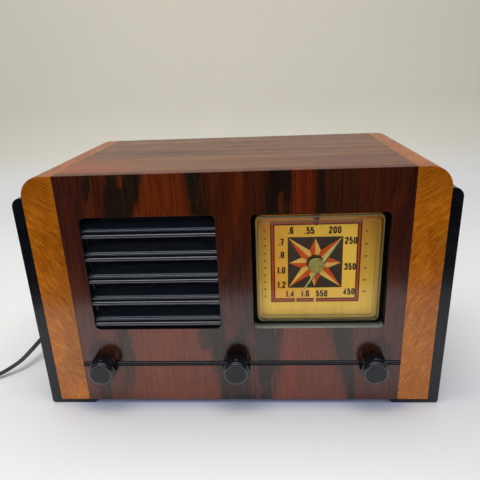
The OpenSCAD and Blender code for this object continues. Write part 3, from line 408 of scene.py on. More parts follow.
def makeTopVeneer():
    material, w, shader, place, _ = newMaterial("topVeneer", Coat_Roughness=0.16, Specular_IOR_Level=0.1)
    x, y, z = w.split(place)
    woody = grain(w, w.join(y, z, x), 0.8, 22.0)
    bands = w.noise(w.moved(place, (0.0045, 0.055, 0.05), (0, 0, 3)), 1.0, 4.0, 0.6, 0.5)
    tone = w.plus(w.times(woody["Fibre"], 0.4), w.times(bands, 0.6))
    colour = w.ramp(tone, [
        (0.36, paint(60, 32, 20)), (0.44, paint(82, 46, 28)), (0.52, paint(100, 58, 35)),
        (0.60, paint(114, 72, 42)), (0.70, paint(128, 86, 52))])
    red = w.times(w.spread(x, -60, -130), w.spread(y, 90, 30))
    colour = w.mixed(w.times(red, 0.5), colour, paint(142, 62, 36))
    colour = w.mixed(w.times(woody["Pores"], 0.5), colour, paint(40, 22, 16))
    worn = handled(w, place)
    dusty = w.times(w.plus(worn["Smudge"], worn["Speck"]), 0.08)
    colour = w.mixed(dusty, colour, paint(176, 146, 128))
    w.fill(shader, {
        "Base Color": colour, "Roughness": w.spread(worn["Smudge"], 0, 1, 0.5, 0.62),
        "Coat Weight": w.spread(worn["Smudge"], 0, 1, 0.38, 0.30),
        "Normal": w.bump(woody["Height"], 0.15, 0.0002)})
    return material


def makePlainWood(name, light, dark):
    material, w, shader, place, _ = newMaterial(name, Specular_IOR_Level=0.25)
    woody = grain(w, place, 0.8, 6.0)
    worn = handled(w, place)
    colour = w.mixed(w.spread(woody["Fibre"], 0.35, 0.65), paint(*dark), paint(*light))
    pitted = w.times(w.plus(woody["Pores"], worn["Speck"], clamp=True), 0.4)
    w.fill(shader, {
        "Base Color": w.mixed(pitted, colour, paint(*[c * 0.55 for c in dark])),
        "Roughness": w.spread(worn["Smudge"], 0, 1, 0.62, 0.85),
        "Normal": w.bump(woody["Height"], 0.3, 0.0003)})
    return material


# other finishes: two colours that the wear mixes, a range of roughness and a small relief
def makeFinish(name, colour, second, rough, metal=0.0, coat=0.0, relief=0.1, scale=1.0, stretch=(1, 1, 1),
               **plain):
    material, w, shader, place, _ = newMaterial(name, **plain)
    worn = handled(w, w.moved(place, stretch), scale)
    mixed = w.mixed(w.times(worn["Smudge"], 0.8), paint(*colour), paint(*second))
    dust = paint(*[min(255, c * 1.5 + 16) for c in second])
    mixed = w.mixed(w.times(worn["Speck"], 0.25), mixed, dust)
    rubbed = w.plus(worn["Smudge"], w.times(worn["Hairline"], 0.6), clamp=True)
    w.fill(shader, {
        "Base Color": mixed, "Metallic": metal, "Coat Weight": coat,
        "Roughness": w.spread(rubbed, 0, 1, rough[0], rough[1]),
        "Normal": w.bump(worn["Height"], relief, 0.0001)})
    return material


def makeGlass(name, tint, ior=1.49, roughness=0.02):
    material, w, shader, place, out = newMaterial(name, IOR=ior, Transmission_Weight=1.0)
    worn = handled(w, place)
    w.fill(shader, {
        "Base Color": w.mixed(w.times(worn["Speck"], 0.3), paint(*tint), paint(196, 190, 176)),
        "Roughness": w.spread(worn["Smudge"], 0, 1, roughness, roughness * 2.2)})
    clear = w.add("ShaderNodeBsdfTransparent", {"Color": paint(*tint)})
    shadow = w.add("ShaderNodeLightPath").outputs["Is Shadow Ray"]
    both = w.add("ShaderNodeMixShader", {0: shadow, 1: shader.outputs[0], 2: clear.outputs[0]})
    w.give(out.inputs["Surface"], both.outputs[0])
    return material


def makeWeave(name, warp, weft, pitch):  # plain weave of two threads, in millimetres
    material, w, shader, place, _ = newMaterial(name, Sheen_Weight=0.2, Specular_IOR_Level=0.1)
    x, _, z = w.split(place)
    waves = [w.math("SINE", w.times(v, math.pi / pitch)) for v in (x, z)]
    over = w.spread(w.times(waves[0], waves[1]), -0.06, 0.06)
    height = w.most(w.math("ABSOLUTE", waves[0]), w.math("ABSOLUTE", waves[1]))
    worn = handled(w, place)
    threads = w.mixed(over, paint(*warp), paint(*weft))
    w.fill(shader, {
        "Base Color": w.mixed(w.times(worn["Smudge"], 0.4), threads, paint(16, 13, 11)),
        "Roughness": w.spread(height, 0.2, 1.0, 0.95, 0.8),
        "Normal": w.bump(height, 0.6, 0.0003)})
    return material


figuredVeneer = makeVeneer()
grilleFabric = makeWeave("grilleFabric", (40, 31, 24), (28, 22, 19), 0.8)
stripeWood = makeLightWood("stripeWood")
sideWood = makeLightWood("sideWood", alongDepth=True)
topVeneer = makeTopVeneer()
plainWood = makePlainWood("plainWood", (178, 138, 92), (136, 98, 58))
fibreBoard = makePlainWood("fibreBoard", (112, 80, 52), (88, 60, 38))
blackLacquer = makeFinish("blackLacquer", (12, 15, 20), (18, 21, 26), (0.25, 0.29), coat=0.35, relief=0.004,
                          Coat_Roughness=0.10, Specular_IOR_Level=0.3)
blackMoulding = makeFinish("blackMoulding", (33, 37, 44), (38, 42, 48), (0.24, 0.3), coat=1.0, relief=0.0,
                           Coat_Roughness=0.05, Coat_IOR=2.15, Specular_IOR_Level=0.2)
knobMoulding = makeFinish("knobMoulding", (16, 20, 26), (22, 26, 32), (0.16, 0.26), coat=0.3, relief=0.02,
                          Coat_Roughness=0.06, Specular_IOR_Level=0.3)
knobGloss = makeFinish("knobGloss", (12, 15, 20), (18, 21, 26), (0.12, 0.2), coat=1.0, relief=0.01,
                       Coat_Roughness=0.05, Coat_IOR=1.6, Specular_IOR_Level=0.3)
blackPaint = makeFinish("blackPaint", (14, 14, 15), (20, 19, 18), (0.35, 0.5), relief=0.1)
# painted reflection: the dial window's black sill is given a light grey where it would reflect light
dustyPaint = makeFinish("dustyPaint", (158, 160, 150), (138, 142, 132), (0.3, 0.45), coat=0.4, relief=0.1)
dialBrass = makeFinish("dialBrass", (255, 212, 98), (244, 196, 84), (0.30, 0.40), metal=0.4, relief=0.08,
                       stretch=(3, 1, 0.08), Specular_IOR_Level=0.2)


def toned(material, axis, low, high, steps):  # multiplies the piece's colour by a ramp along one axis, from one end to the other
    w = Wiring(material.node_tree)
    place = millimetres(w)
    shader = next(n for n in material.node_tree.nodes if n.type == "BSDF_PRINCIPLED")
    socket = shader.inputs["Base Color"]
    first = socket.links[0].from_socket
    drift = w.times(w.minus(w.noise(place, 0.02, 2.0), 0.5), 0.3 * (high - low))
    share = w.spread(w.plus(w.split(place)[axis], drift), low, high, soft=False)
    tone = w.ramp(share, [(k, paint(*c)) for k, c in steps])
    w.give(socket, w.mixed(1.0, first, tone, "MULTIPLY"))


# the plate is darker and more orange towards the top
toned(dialBrass, 2, 84, 184, [
    (0.0, (255, 255, 255)), (0.3, (236, 234, 226)), (0.8, (206, 186, 146)), (1.0, (214, 152, 84))])
# painted shade: the sill is darker towards the back, where the crystal shades it
toned(dustyPaint, 1, 0, 6.4, [
    (0.0, (255, 255, 255)), (0.2, (222, 224, 222)), (0.6, (212, 216, 212)), (1.0, (168, 174, 170))])
dialField = makeFinish("dialField", (255, 210, 88), (246, 198, 80), (0.36, 0.48), metal=0.25, relief=0.06,
                       Specular_IOR_Level=0.2)
# the field is darker towards the left
toned(dialField, 0, 31, 111, [(0.0, (236, 206, 176)), (0.5, (252, 242, 236)), (1.0, (255, 255, 255))])
printed = {"rough": (0.4, 0.5), "relief": 0.05, "Specular_IOR_Level": 0.1}
dialMaroon = makeFinish("dialMaroon", (80, 18, 12), (92, 24, 14), **printed)
dialOrange = makeFinish("dialOrange", (182, 74, 30), (166, 64, 26), **printed)
starOrange = makeFinish("starOrange", (216, 84, 16), (204, 74, 14), **printed)
dialCream = makeFinish("dialCream", (240, 192, 104), (230, 178, 92), **printed)
printed["rough"] = (0.45, 0.55)
dialInk = makeFinish("dialInk", (28, 15, 7), (22, 12, 6), **printed)
dialSquare = makeFinish("dialSquare", (58, 44, 40), (50, 38, 36), **printed)
pointerBrass = makeFinish("pointerBrass", (188, 168, 84), (98, 122, 72),
                          (0.32, 0.5), metal=0.5, relief=0.8, scale=9.0)
# painted highlight: a light olive colour for the clear crystal's rim and step
crystalEdge = makeFinish("crystalEdge", (176, 166, 120), (150, 142, 100), (0.18, 0.3), coat=0.4, relief=0.02)
# painted light and shade: the needle's two faces get a lit and a shaded colour
pointerLight = makeFinish("pointerLight", (214, 206, 140), (184, 184, 118),
                          (0.3, 0.45), metal=0.4, relief=0.2, scale=4.0)
pointerShade = makeFinish("pointerShade", (96, 108, 60), (76, 90, 52),
                          (0.4, 0.5), metal=0.4, relief=0.2, scale=4.0)
chassisSteel = makeFinish("chassisSteel", (150, 150, 146), (122, 120, 114),
                          (0.36, 0.55), metal=0.9, relief=0.15)
capacitorMetal = makeFinish("capacitorMetal", (190, 190, 186), (168, 168, 164),
                            (0.32, 0.46), metal=0.95, relief=0.1)
shaftSteel = makeFinish("shaftSteel", (176, 174, 168), (150, 146, 138),
                        (0.22, 0.36), metal=1.0, relief=0.05, scale=3.0)
fittingBrass = makeFinish("fittingBrass", (168, 140, 82), (132, 108, 62),
                          (0.3, 0.5), metal=0.95, relief=0.1, scale=3.0)
drumMetal = makeFinish("drumMetal", (186, 180, 160), (166, 158, 138), (0.32, 0.46), metal=0.95, relief=0.1)
controlCase = makeFinish("controlCase", (126, 112, 90), (104, 94, 78), (0.4, 0.55), metal=0.7, relief=0.12)
speakerFrame = makeFinish("speakerFrame", (108, 108, 102), (92, 90, 84), (0.38, 0.55), metal=0.5, relief=0.15)
conePaper = makeFinish("conePaper", (30, 25, 22), (40, 34, 29), (0.85, 0.95), relief=0.8, scale=0.7)
transformerIron = makeFinish("transformerIron", (66, 60, 54), (86, 70, 54), (0.5, 0.7), metal=0.6, relief=0.3,
                             stretch=(0.1, 4, 0.1))
brownMoulding = makeFinish("brownMoulding", (34, 22, 18), (44, 29, 22), (0.28, 0.42), coat=0.3, relief=0.08)
electrodeMetal = makeFinish("electrodeMetal", (54, 54, 56), (40, 40, 42), (0.5, 0.65), metal=0.5, relief=0.2)
windingPaper = makeFinish("windingPaper", (128, 98, 56), (102, 76, 42),
                          (0.6, 0.8), relief=0.5, stretch=(1, 0.2, 1))
getterSilver = makeFinish("getterSilver", (120, 116, 110), (72, 66, 62), (0.06, 0.2), metal=1.0, relief=0.02)
micaPale = makeFinish("micaPale", (206, 200, 184), (184, 176, 158), (0.3, 0.45), coat=0.3, relief=0.1)
antennaWire = makeFinish("antennaWire", (138, 84, 40), (110, 64, 30), (0.6, 0.8), relief=0.7, scale=2.0)
driveCord = makeFinish("driveCord", (168, 150, 118), (140, 122, 92), (0.7, 0.85), relief=0.6, scale=3.0)
cordRubber = makeFinish("cordRubber", (30, 21, 18), (40, 28, 22), (0.42, 0.6), relief=0.25, scale=1.6)
crystal = makeGlass("crystal", (254, 252, 240), 1.34)
tubeGlass = makeGlass("tubeGlass", (240, 246, 244), 1.5)
print("materials made:", len(bpy.data.materials))


# shapes
def newObject(name, data):
    piece = bpy.data.objects.new(name, data)
    scene.collection.objects.link(piece)
    return piece


def newMesh(name, points, faces, materials=()):  # points in metres
    mesh = bpy.data.meshes.new(name)
    mesh.from_pydata([tuple(p) for p in points], [], faces)
    for material in materials:
        mesh.materials.append(material)
    return newObject(name, mesh)


def closedUp(piece, smooth=35.0):  # merged, turned outwards, and smooth up to that angle
    mesh = piece.data
    form = bmesh.new()
    form.from_mesh(mesh)
    bmesh.ops.remove_doubles(form, verts=form.verts, dist=2e-6)
    bmesh.ops.dissolve_degenerate(form, dist=1e-7, edges=form.edges)
    bmesh.ops.delete(form, geom=[edge for edge in form.edges if not edge.link_faces], context="EDGES")
    bmesh.ops.recalc_face_normals(form, faces=form.faces)
    form.to_mesh(mesh)
    form.free()
    mesh.shade_smooth()
    mesh.set_sharp_from_angle(angle=math.radians(smooth))
    return piece


def bevelled(piece, width, segments=2, angle=30):
    edge = piece.modifiers.new("edges", "BEVEL")
    edge.width = width * mm
    edge.segments = segments
    edge.limit_method = "ANGLE"
    edge.angle_limit = math.radians(angle)
    edge.harden_normals = True
    return piece


def covered(mesh, *materials):  # takes off what the mesh had
    mesh.materials.clear()
    for material in materials:
        mesh.materials.append(material)


def plainMesh(piece):  # the piece's mesh with its modifiers taken in
    view = bpy.context.evaluated_depsgraph_get()
    return bpy.data.meshes.new_from_object(piece.evaluated_get(view), depsgraph=view)


def bodyOf(nodeName):
    return cadNodes[nodeName]["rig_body"]


def settle(piece, body, slotName, *replaced):
    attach(piece, body)
    if replaced:
        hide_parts(*replaced)
    return piece


def softened(nodeName, name, material, slotName, width=0.3, segments=2, keepFlat=0.4):
    # the node's own shape with its flat faces joined and its edges rounded
    mesh = cadNodes[nodeName].data.copy()
    mesh.name = name
    covered(mesh, material)
    if "custom_normal" in mesh.attributes:
        mesh.attributes.remove(mesh.attributes["custom_normal"])
    form = bmesh.new()
    form.from_mesh(mesh)
    for face in form.faces:
        face.material_index = 0
    bmesh.ops.remove_doubles(form, verts=form.verts, dist=2e-6)
    bmesh.ops.dissolve_limit(form, angle_limit=math.radians(keepFlat), verts=form.verts, edges=form.edges)
    form.to_mesh(mesh)
    form.free()
    mesh.shade_smooth()
    mesh.set_sharp_from_angle(angle=math.radians(30))
    piece = newObject(name, mesh)
    if width:
        bevelled(piece, width, segments)
    return settle(piece, bodyOf(nodeName), slotName, nodeName)


def roundedOutline(width, height, radius, perCorner=8):  # counter-clockwise seen from the front
    outline = []
    for k, (sx, sz) in enumerate(((1, 1), (-1, 1), (-1, -1), (1, -1))):
        for i in range(perCorner + 1):
            a = math.radians(90 * k + 90 * i / perCorner)
            outline.append((sx * (width / 2 - radius) + radius * math.cos(a),
                            sz * (height / 2 - radius) + radius * math.sin(a)))
    return outline


def ringFaces(rings, count, start=0):  # the quads between rings that follow each other
    faces = []
    for first in range(start, start + (rings - 1) * count, count):
        for k in range(count):
            a, b = first + k, first + (k + 1) % count
            faces.append((a, b, b + count, a + count))
    return faces


def lofted(name, rings, materials, capStart=True, capEnd=True):  # rings of points in metres, all as long
    count = len(rings[0])
    points = [p for ring in rings for p in ring]
    faces = ringFaces(len(rings), count)
    if capStart:
        faces.append(tuple(range(count))[::-1])
    if capEnd:
        faces.append(tuple(range(len(points) - count, len(points))))
    return closedUp(newMesh(name, points, faces, materials))


def prisms(name, pairs, material, smooth=30.0):  # each pair is a solid's first and last outline
    points, faces = [], []
    for first, last in pairs:
        start, count = len(points), len(first)
        points += first + last
        faces.append(tuple(range(start, start + count)))
        faces.append(tuple(range(start + count, start + 2 * count))[::-1])
        faces += ringFaces(2, count, start)
    return closedUp(newMesh(name, points, faces, [material]), smooth)


def slabs(name, outlines, near, far, material):  # outlines (across, height) between two depths
    pairs = [[[at(x, y, z) for x, z in outline] for y in (near, far)] for outline in outlines]
    return prisms(name, pairs, material)


def bars(name, outline, spans, material, smooth=30.0):  # an outline (depth, height) over each span across
    pairs = [[[at(x, y, z) for y, z in outline] for x in span] for span in spans]
    return prisms(name, pairs, material, smooth)


def boxes(name, corners, material, width=0.3):  # each box is its low and high corner, in millimetres
    points, faces = [], []
    for low, high in corners:
        start = len(points)
        points += [at(*(high[a] if k >> a & 1 else low[a] for a in range(3))) for k in range(8)]
        for face in ((0, 1, 3, 2), (4, 6, 7, 5), (0, 4, 5, 1), (2, 3, 7, 6), (0, 2, 6, 4), (1, 5, 7, 3)):
            faces.append(tuple(start + k for k in face))
    piece = closedUp(newMesh(name, points, faces, [material]))
    return bevelled(piece, width) if width else piece


# geometry trees: a turned profile, a swept wire and copies at places
shape, whole, solid, thing = "NodeSocketGeometry", "NodeSocketInt", "NodeSocketMaterial", "NodeSocketObject"


def copiedAt(w, given, geometry):  # the shape at each point of the places object, made real
    info = w.add("GeometryNodeObjectInfo", {"Object": given["Places"]})
    copies = w.add("GeometryNodeInstanceOnPoints", {
        "Points": info.outputs["Geometry"], "Instance": geometry, "Rotation": given["Turn"]})
    return w.add("GeometryNodeRealizeInstances", {0: copies.outputs[0]}).outputs[0]


def makeTurnedTree():
    tree, w, given, out = newGroup("turnedPiece", "GeometryNodeTree", [
        ("Profile", shape, None), ("Segments", whole, 96), ("Flutes", whole, 8),
        ("Flute Centre", number, 1.0), ("Flute Radius", number, 0.01), ("Fluted From", number, 0.0),
        ("Turn", "NodeSocketRotation", None), ("Places", thing, None), ("Material", solid, None)],
        [("Geometry", shape)])
    count = w.add("GeometryNodeAttributeDomainSize", {0: given["Profile"]}).outputs["Point Count"]
    columns = w.plus(given["Segments"], 1)
    grid = w.add("GeometryNodeMeshGrid", {
        "Size X": 1.0, "Size Y": 1.0, "Vertices X": columns, "Vertices Y": count})
    index = w.add("GeometryNodeInputIndex").outputs[0]
    column = w.math("FLOOR", w.math("DIVIDE", w.plus(index, 0.5), count))
    row = w.minus(index, w.times(column, count))
    where = w.add("GeometryNodeInputPosition").outputs[0]
    sampled = {"Geometry": given["Profile"], "Value": where, "Index": row}
    sample = w.add("GeometryNodeSampleIndex", sampled, data_type="FLOAT_VECTOR", domain="POINT")
    radius, _, height = w.split(sample.outputs["Value"])
    angle = w.times(w.math("DIVIDE", column, given["Segments"]), 2 * math.pi)
    step = w.math("DIVIDE", 2 * math.pi, given["Flutes"])
    half = w.times(step, 0.5)
    phase = w.minus(w.math("FLOORED_MODULO", angle, step), half)
    reach = w.times(given["Flute Centre"], w.math("COSINE", phase))
    offset = w.times(given["Flute Centre"], w.math("SINE", phase))
    squared = w.minus(w.times(given["Flute Radius"], given["Flute Radius"]), w.times(offset, offset))
    hollow = w.minus(reach, w.math("SQRT", w.most(squared, 0.0)))  # how deep the flute cuts at this angle
    cut = w.math("MINIMUM", radius, hollow)
    fluted = w.math("GREATER_THAN", height, given["Fluted From"])
    radius = w.plus(w.times(cut, fluted), w.times(radius, w.minus(1.0, fluted)))
    x, y = w.times(radius, w.math("COSINE", angle)), w.times(radius, w.math("SINE", angle))
    placed = w.join(x, y, height)
    body = w.add("GeometryNodeSetPosition", {"Geometry": grid.outputs["Mesh"], "Position": placed})
    body = w.add("GeometryNodeMergeByDistance", {"Geometry": body.outputs[0], "Distance": 1e-6})
    real = copiedAt(w, given, body.outputs[0])
    last = w.add("GeometryNodeSetMaterial", {"Geometry": real, "Material": given["Material"]})
    w.give(out.inputs[0], last.outputs[0])
    return tree


def makeSweptTree():  # a round wire along the given curve
    tree, w, given, out = newGroup("sweptWire", "GeometryNodeTree", [
        ("Path", shape, None), ("Radius", number, 0.001), ("Sides", whole, 12), ("Material", solid, None)],
        [("Geometry", shape)])
    circle = {"Resolution": given["Sides"], "Radius": given["Radius"]}
    circle = w.add("GeometryNodeCurvePrimitiveCircle", circle, mode="RADIUS")
    swept = w.add("GeometryNodeCurveToMesh", {
        "Curve": given["Path"], "Profile Curve": circle.outputs[0], "Fill Caps": True})
    real = w.add("GeometryNodeRealizeInstances", {0: swept.outputs[0]})
    last = w.add("GeometryNodeSetMaterial", {"Geometry": real.outputs[0], "Material": given["Material"]})
    w.give(out.inputs[0], last.outputs[0])
    return tree


def makeCopiesTree():
    tree, w, given, out = newGroup("copiesAtPlaces", "GeometryNodeTree", [
        ("Piece", shape, None), ("Turn", "NodeSocketRotation", None), ("Places", thing, None),
        ("Material", solid, None)],
        [("Geometry", shape)])
    real = copiedAt(w, given, given["Piece"])
    last = w.add("GeometryNodeSetMaterial", {"Geometry": real, "Material": given["Material"]})
    w.give(out.inputs[0], last.outputs[0])
    return tree


turnedPiece, sweptWire, copiesAtPlaces = makeTurnedTree(), makeSweptTree(), makeCopiesTree()


def grown(piece, tree, smooth=35.0, **values):  # runs a tree on the piece and keeps the plain mesh
    modifier = piece.modifiers.new("grown", "NODES")
    modifier.node_group = tree
    values = {key.lower(): value for key, value in values.items()}
    for item in tree.interface.items_tree:
        key = item.name.replace(" ", "").lower()
        if item.in_out == "INPUT" and key in values:
            modifier[item.identifier] = values[key]
    mesh = plainMesh(piece)
    name = piece.name
    bpy.data.objects.remove(piece)
    result = newObject(name, mesh)
    mesh.name = name
    return closedUp(result, smooth)


def placesObject(points):
    mesh = bpy.data.meshes.new("places")
    mesh.from_pydata([tuple(p) for p in points], [], [])
    return newObject("places", mesh)


def turned(name, profile, places, material, upright=False, segments=96, smooth=32.0, **flutes):
    # the profile gives radius and depth (or height) in millimetres, from each place
    mesh = bpy.data.meshes.new(name)
    edges = [(k, k + 1) for k in range(len(profile) - 1)]
    mesh.from_pydata([(r * mm, 0, h * mm) for r, h in profile], edges, [])
    spots = placesObject(places)
    turn = (0.0, 0.0, 0.0) if upright else (-math.pi / 2, 0.0, 0.0)
    piece = grown(newObject(name, mesh), turnedPiece, smooth, segments=segments, turn=turn, places=spots,
                  material=material, **flutes)
    bpy.data.objects.remove(spots)
    return piece


def repeated(piece, places, material, turn=(0.0, 0.0, 0.0), smooth=35.0):
    spots = placesObject(places)
    result = grown(piece, copiesAtPlaces, smooth, turn=turn, places=spots, material=material)
    bpy.data.objects.remove(spots)
    return result


def wire(name, points, radius, material, sides=12, cyclic=False):  # points in metres, radius in millimetres
    data = bpy.data.curves.new(name, "CURVE")
    data.dimensions = "3D"
    line = data.splines.new("POLY")
    line.points.add(len(points) - 1)
    for spot, p in zip(line.points, points):
        spot.co = (*p, 1.0)
    line.use_cyclic_u = cyclic
    return grown(newObject(name, data), sweptWire, 50.0, radius=radius * mm, sides=sides, material=material)


def arc(cx, cy, radius, start, end, steps):  # points of a circle in a profile's own plane, in degrees
    angles = [math.radians(start + (end - start) * k / steps) for k in range(steps + 1)]
    return [(cx + radius * math.cos(a), cy + radius * math.sin(a)) for a in angles]


# mains cord: the route and coil of the part's source
cordSet = {
    "route": [
        (-120, 214, 48), (-120, 222, 48), (-121, 232, 47.5), (-126, 244, 46.5), (-136, 254, 45.5),
        (-149, 260, 44.5), (-163, 261, 43), (-177, 257, 41.5), (-189, 249, 40), (-199, 238, 38),
        (-207, 225, 36), (-213, 211, 34), (-218, 196, 32), (-222, 180, 30), (-225, 164, 28),
        (-227, 147, 26), (-229, 130, 24), (-231, 113, 22), (-233, 98, 20.5), (-236, 84, 19),
        (-240, 70, 15.5), (-246, 57, 11), (-254, 48, 7.5), (-264, 40, 4.5), (-275, 33, 2.5),
        (-287, 27, 1.6), (-300, 23, 1.5), (-314, 21, 1.5), (-324, 20.4, 1.5), (-330, 20.4, 1.5)],
    "coilMiddle": (-336, 61.1), "innerRadius": 19, "pitch": 6.2, "inTurns": 3.5, "turns": 7.25,
    "steps": 24, "low": 1.5, "rise": 3.4, "plugHeight": 7,
    "width": 5.6, "thickness": 2.8, "length": 1.815,
}
plugSet = {
    # how far along, how wide and how high
    "sections": [
        (0, 13, 10), (0.8, 15, 12), (2, 16.6, 13), (5, 15.8, 13.6), (9, 16.4, 13.8), (13, 19.4, 13.9),
        (17, 23.4, 14), (20, 25.4, 14), (23, 26, 14), (28, 26, 14), (29.3, 25.4, 13.4), (30, 24, 12)],
    "blade": [(0, -3.15), (14.4, -3.15), (16, -1.9), (16, 1.9), (14.4, 3.15), (0, 3.15)],
    "apart": 12.7, "bladeThickness": 1.5, "length": 30, "roundness": 0.72,
}


def coilPoint(t):
    radius = cordSet["innerRadius"] + cordSet["pitch"] * abs(t - cordSet["inTurns"])
    angle = math.radians(-90 - 360 * t)
    climb = min(1, max(0, 2 * (t - cordSet["inTurns"]) + 0.5))
    x, y = cordSet["coilMiddle"]
    height = cordSet["low"] + cordSet["rise"] * climb
    return x + radius * math.cos(angle), y + radius * math.sin(angle), height


def smoothed(points, steps=3):  # through every point, with the corners rounded
    result = []
    for k in range(len(points) - 1):
        a, b = Vector(points[max(k - 1, 0)]), Vector(points[k])
        c, d = Vector(points[k + 1]), Vector(points[min(k + 2, len(points) - 1)])
        for i in range(steps):
            t = i / steps
            result.append(0.5 * (2 * b + (c - a) * t + (2 * a - 5 * b + 4 * c - d) * t * t
                                 + (3 * b - a - 3 * c + d) * t ** 3))
    return result + [Vector(points[-1])]


def cordPath():
    steps = cordSet["steps"]
    last = int(cordSet["turns"] * steps)
    end = Vector(coilPoint(cordSet["turns"]))
    drop = cordSet["plugHeight"] - cordSet["low"] - cordSet["rise"]
    reach = max(y for _, y, _ in cordSet["route"])
    path = [Vector((p.x, min(p.y, reach), p.z)) for p in smoothed(cordSet["route"])]
    path += [Vector(coilPoint(i / steps / 2)) for i in range(2 * last + 1)]
    path += [end + Vector(move) for move in ((0, 8, 0.4), (0, 16, 1.4), (0, 23, drop), (0, 29, drop))]
    return [Vector((p.x * mm, (p.y + frontY) * mm, p.z * mm)) for p in path]


def makeCord():
    path = cordPath()
    lobe, half = cordSet["thickness"] / 2 * mm, cordSet["width"] / 2 * mm
    outline = []
    for side in (1, -1):  # two round wires with a web between them
        for k in range(7):
            a = math.radians(-126 + 42 * k)
            outline.append((side * (half - lobe + lobe * math.cos(a)), side * lobe * math.sin(a)))
    rings = []
    for k, p in enumerate(path):
        ahead = (path[min(k + 1, len(path) - 1)] - path[max(k - 1, 0)]).normalized()
        side = Vector((ahead.y, -ahead.x, 0)).normalized()
        up = side.cross(ahead)
        rings.append([p + side * u + up * v for u, v in outline])
    return lofted("mainsCord", rings, [cordRubber]), path


def makePlug(tip):  # a moulded plug with finger hollows
    start = Vector(tip) + Vector((0, -0.0002, 0))
    rings = []
    for far, w, h in plugSet["sections"]:
        ring = roundedOutline(w, h, min(w, h) / 2 * plugSet["roundness"])
        rings.append([start + Vector((x * mm, far * mm, z * mm)) for x, z in ring])
    return lofted("plugBody", rings, [brownMoulding])


def makeBlades(tip):
    outline = [(y * mm, z * mm) for y, z in plugSet["blade"]]
    half, pairs = plugSet["bladeThickness"] / 2, []
    for side in (-1, 1):
        away = (side * plugSet["apart"] / 2 * mm, plugSet["length"] * mm - 0.0004, 0)
        middle = Vector(tip) + Vector(away)
        pairs.append([[middle + Vector((x * mm, y, z)) for y, z in outline] for x in (-half, half)])
    return bevelled(prisms("plugBlades", pairs, fittingBrass, 35.0), 0.2)


cordPiece, cordLine = makeCord()
settle(cordPiece, "cabinet", "cord_rubber", "power_cord", "cord_coil")
plugBody, plugBlades = makePlug(cordLine[-1]), makeBlades(cordLine[-1])
settle(plugBody, "cabinet", "cord_rubber", "plug")
settle(plugBlades, "cabinet", "fitting_brass")
reliefProfile = [(0, 184.5), (7.3, 184.5), (7.5, 184.8), (7.5, 187), (5.5, 187), (5.5, 190), (7.3, 190),
                 (7.5, 190.3), (7.5, 191.6), (7.1, 192.1), (5.5, 193.5)]
for k in range(6):  # ribs down the taper
    y, r = 195.2 + 3.0 * k, 5.3 - 0.27 * k
    reliefProfile += [(r, y), (r - 0.7, y + 0.4), (r - 0.75, y + 1.2), (r - 0.05, y + 1.6)]
reliefProfile += [(3.6, 213.6), (3.4, 214), (0, 214)]
strainRelief = turned("strainRelief", [(r, y - 184.5) for r, y in reliefProfile], [at(-120, 184.5, 44)],
                      brownMoulding, segments=48)
settle(strainRelief, "cabinet", "cord_rubber", "strain_relief")
print("cord laid")


# cabinet
# where the front board is cut, in metres; the dial window's floor lies between two heights
frontSet = {"half": 0.1485, "low": 0.006, "high": 0.225, "floor": (0.07, 0.1)}
frontBoard = softened("front_panel", "frontBoard", figuredVeneer, "figured_veneer", 0.2)
frontBoard.data.materials.append(blackPaint)
frontBoard.data.materials.append(dustyPaint)
for face in frontBoard.data.polygons:  # the windows' walls and the shaft holes are painted black
    x, y, z = face.center
    inside = abs(x) < frontSet["half"] and frontSet["low"] < z < frontSet["high"]
    if abs(face.normal.y) < 0.5 and inside:
        floor = x > 0 and face.normal.z > 0.5 and frontSet["floor"][0] < z < frontSet["floor"][1]
        face.material_index = 2 if floor else 1  # painted reflection: the dial window's floor is light grey
leftStripe = softened("left_stripe", "leftStripe", stripeWood, "light_wood", 0.35)
rightStripe = softened("right_stripe", "rightStripe", stripeWood, "light_wood", 0.35)
leftSide = softened("left_side", "leftSide", sideWood, "light_wood", 0.3)
rightSide = softened("right_side", "rightSide", sideWood, "light_wood", 0.3)
topBoard = softened("top_panel", "topBoard", topVeneer, "top_veneer", 0.2)
inward = {  # which way each board's inner face looks
    frontBoard: (0, 1, 0), leftStripe: (0, 1, 0), rightStripe: (0, 1, 0), leftSide: (1, 0, 0),
    rightSide: (-1, 0, 0), topBoard: (0, 0, -1)}
for board, way in inward.items():  # no veneer on the faces inside the cabinet
    board.data.materials.append(plainWood)
    for face in board.data.polygons:
        if face.normal.dot(Vector(way)) > 0.5:
            face.material_index = len(board.data.materials) - 1
softened("bottom_board", "bottomBoard", plainWood, "plain_wood", 0.4)
softened("left_rail", "leftRail", blackLacquer, "black_lacquer", 0.6, 3)
softened("right_rail", "rightRail", blackLacquer, "black_lacquer", 0.6, 3)
softened("glue_blocks", "glueBlocks", plainWood, "plain_wood", 0.6)
softened("back_cleats", "backCleats", plainWood, "plain_wood", 0.6)
beadSet = {"half": 2.6, "groove": 1.75, "radius": 1.55, "out": -1.0, "ends": 149.5, "hole": 5.0}


def makeBead():  # a rounded bead between two fine grooves, open where the shafts pass
    z, half, groove, r = knobHeight, beadSet["half"], beadSet["groove"], beadSet["radius"]
    outline = [(1.5, z - half), (0.05, z - half), (0.05, z - half + 0.3), (0.9, z - half + 0.4),
               (0.9, z - groove)]
    outline += arc(beadSet["out"] + r, z, r, 258, 102, 14)
    outline += [(0.9, z + groove), (0.9, z + half - 0.4), (0.05, z + half - 0.3), (0.05, z + half),
                (1.5, z + half)]
    edges = [-beadSet["ends"]] + [x + side * beadSet["hole"] for x in knobPlaces for side in (-1, 1)]
    edges.append(beadSet["ends"])
    bead = bars("frontBead", outline, list(zip(edges[::2], edges[1::2])), blackLacquer, 40)
    settle(bead, "cabinet", "black_lacquer", "panel_bead")


makeBead()
print("cabinet made")


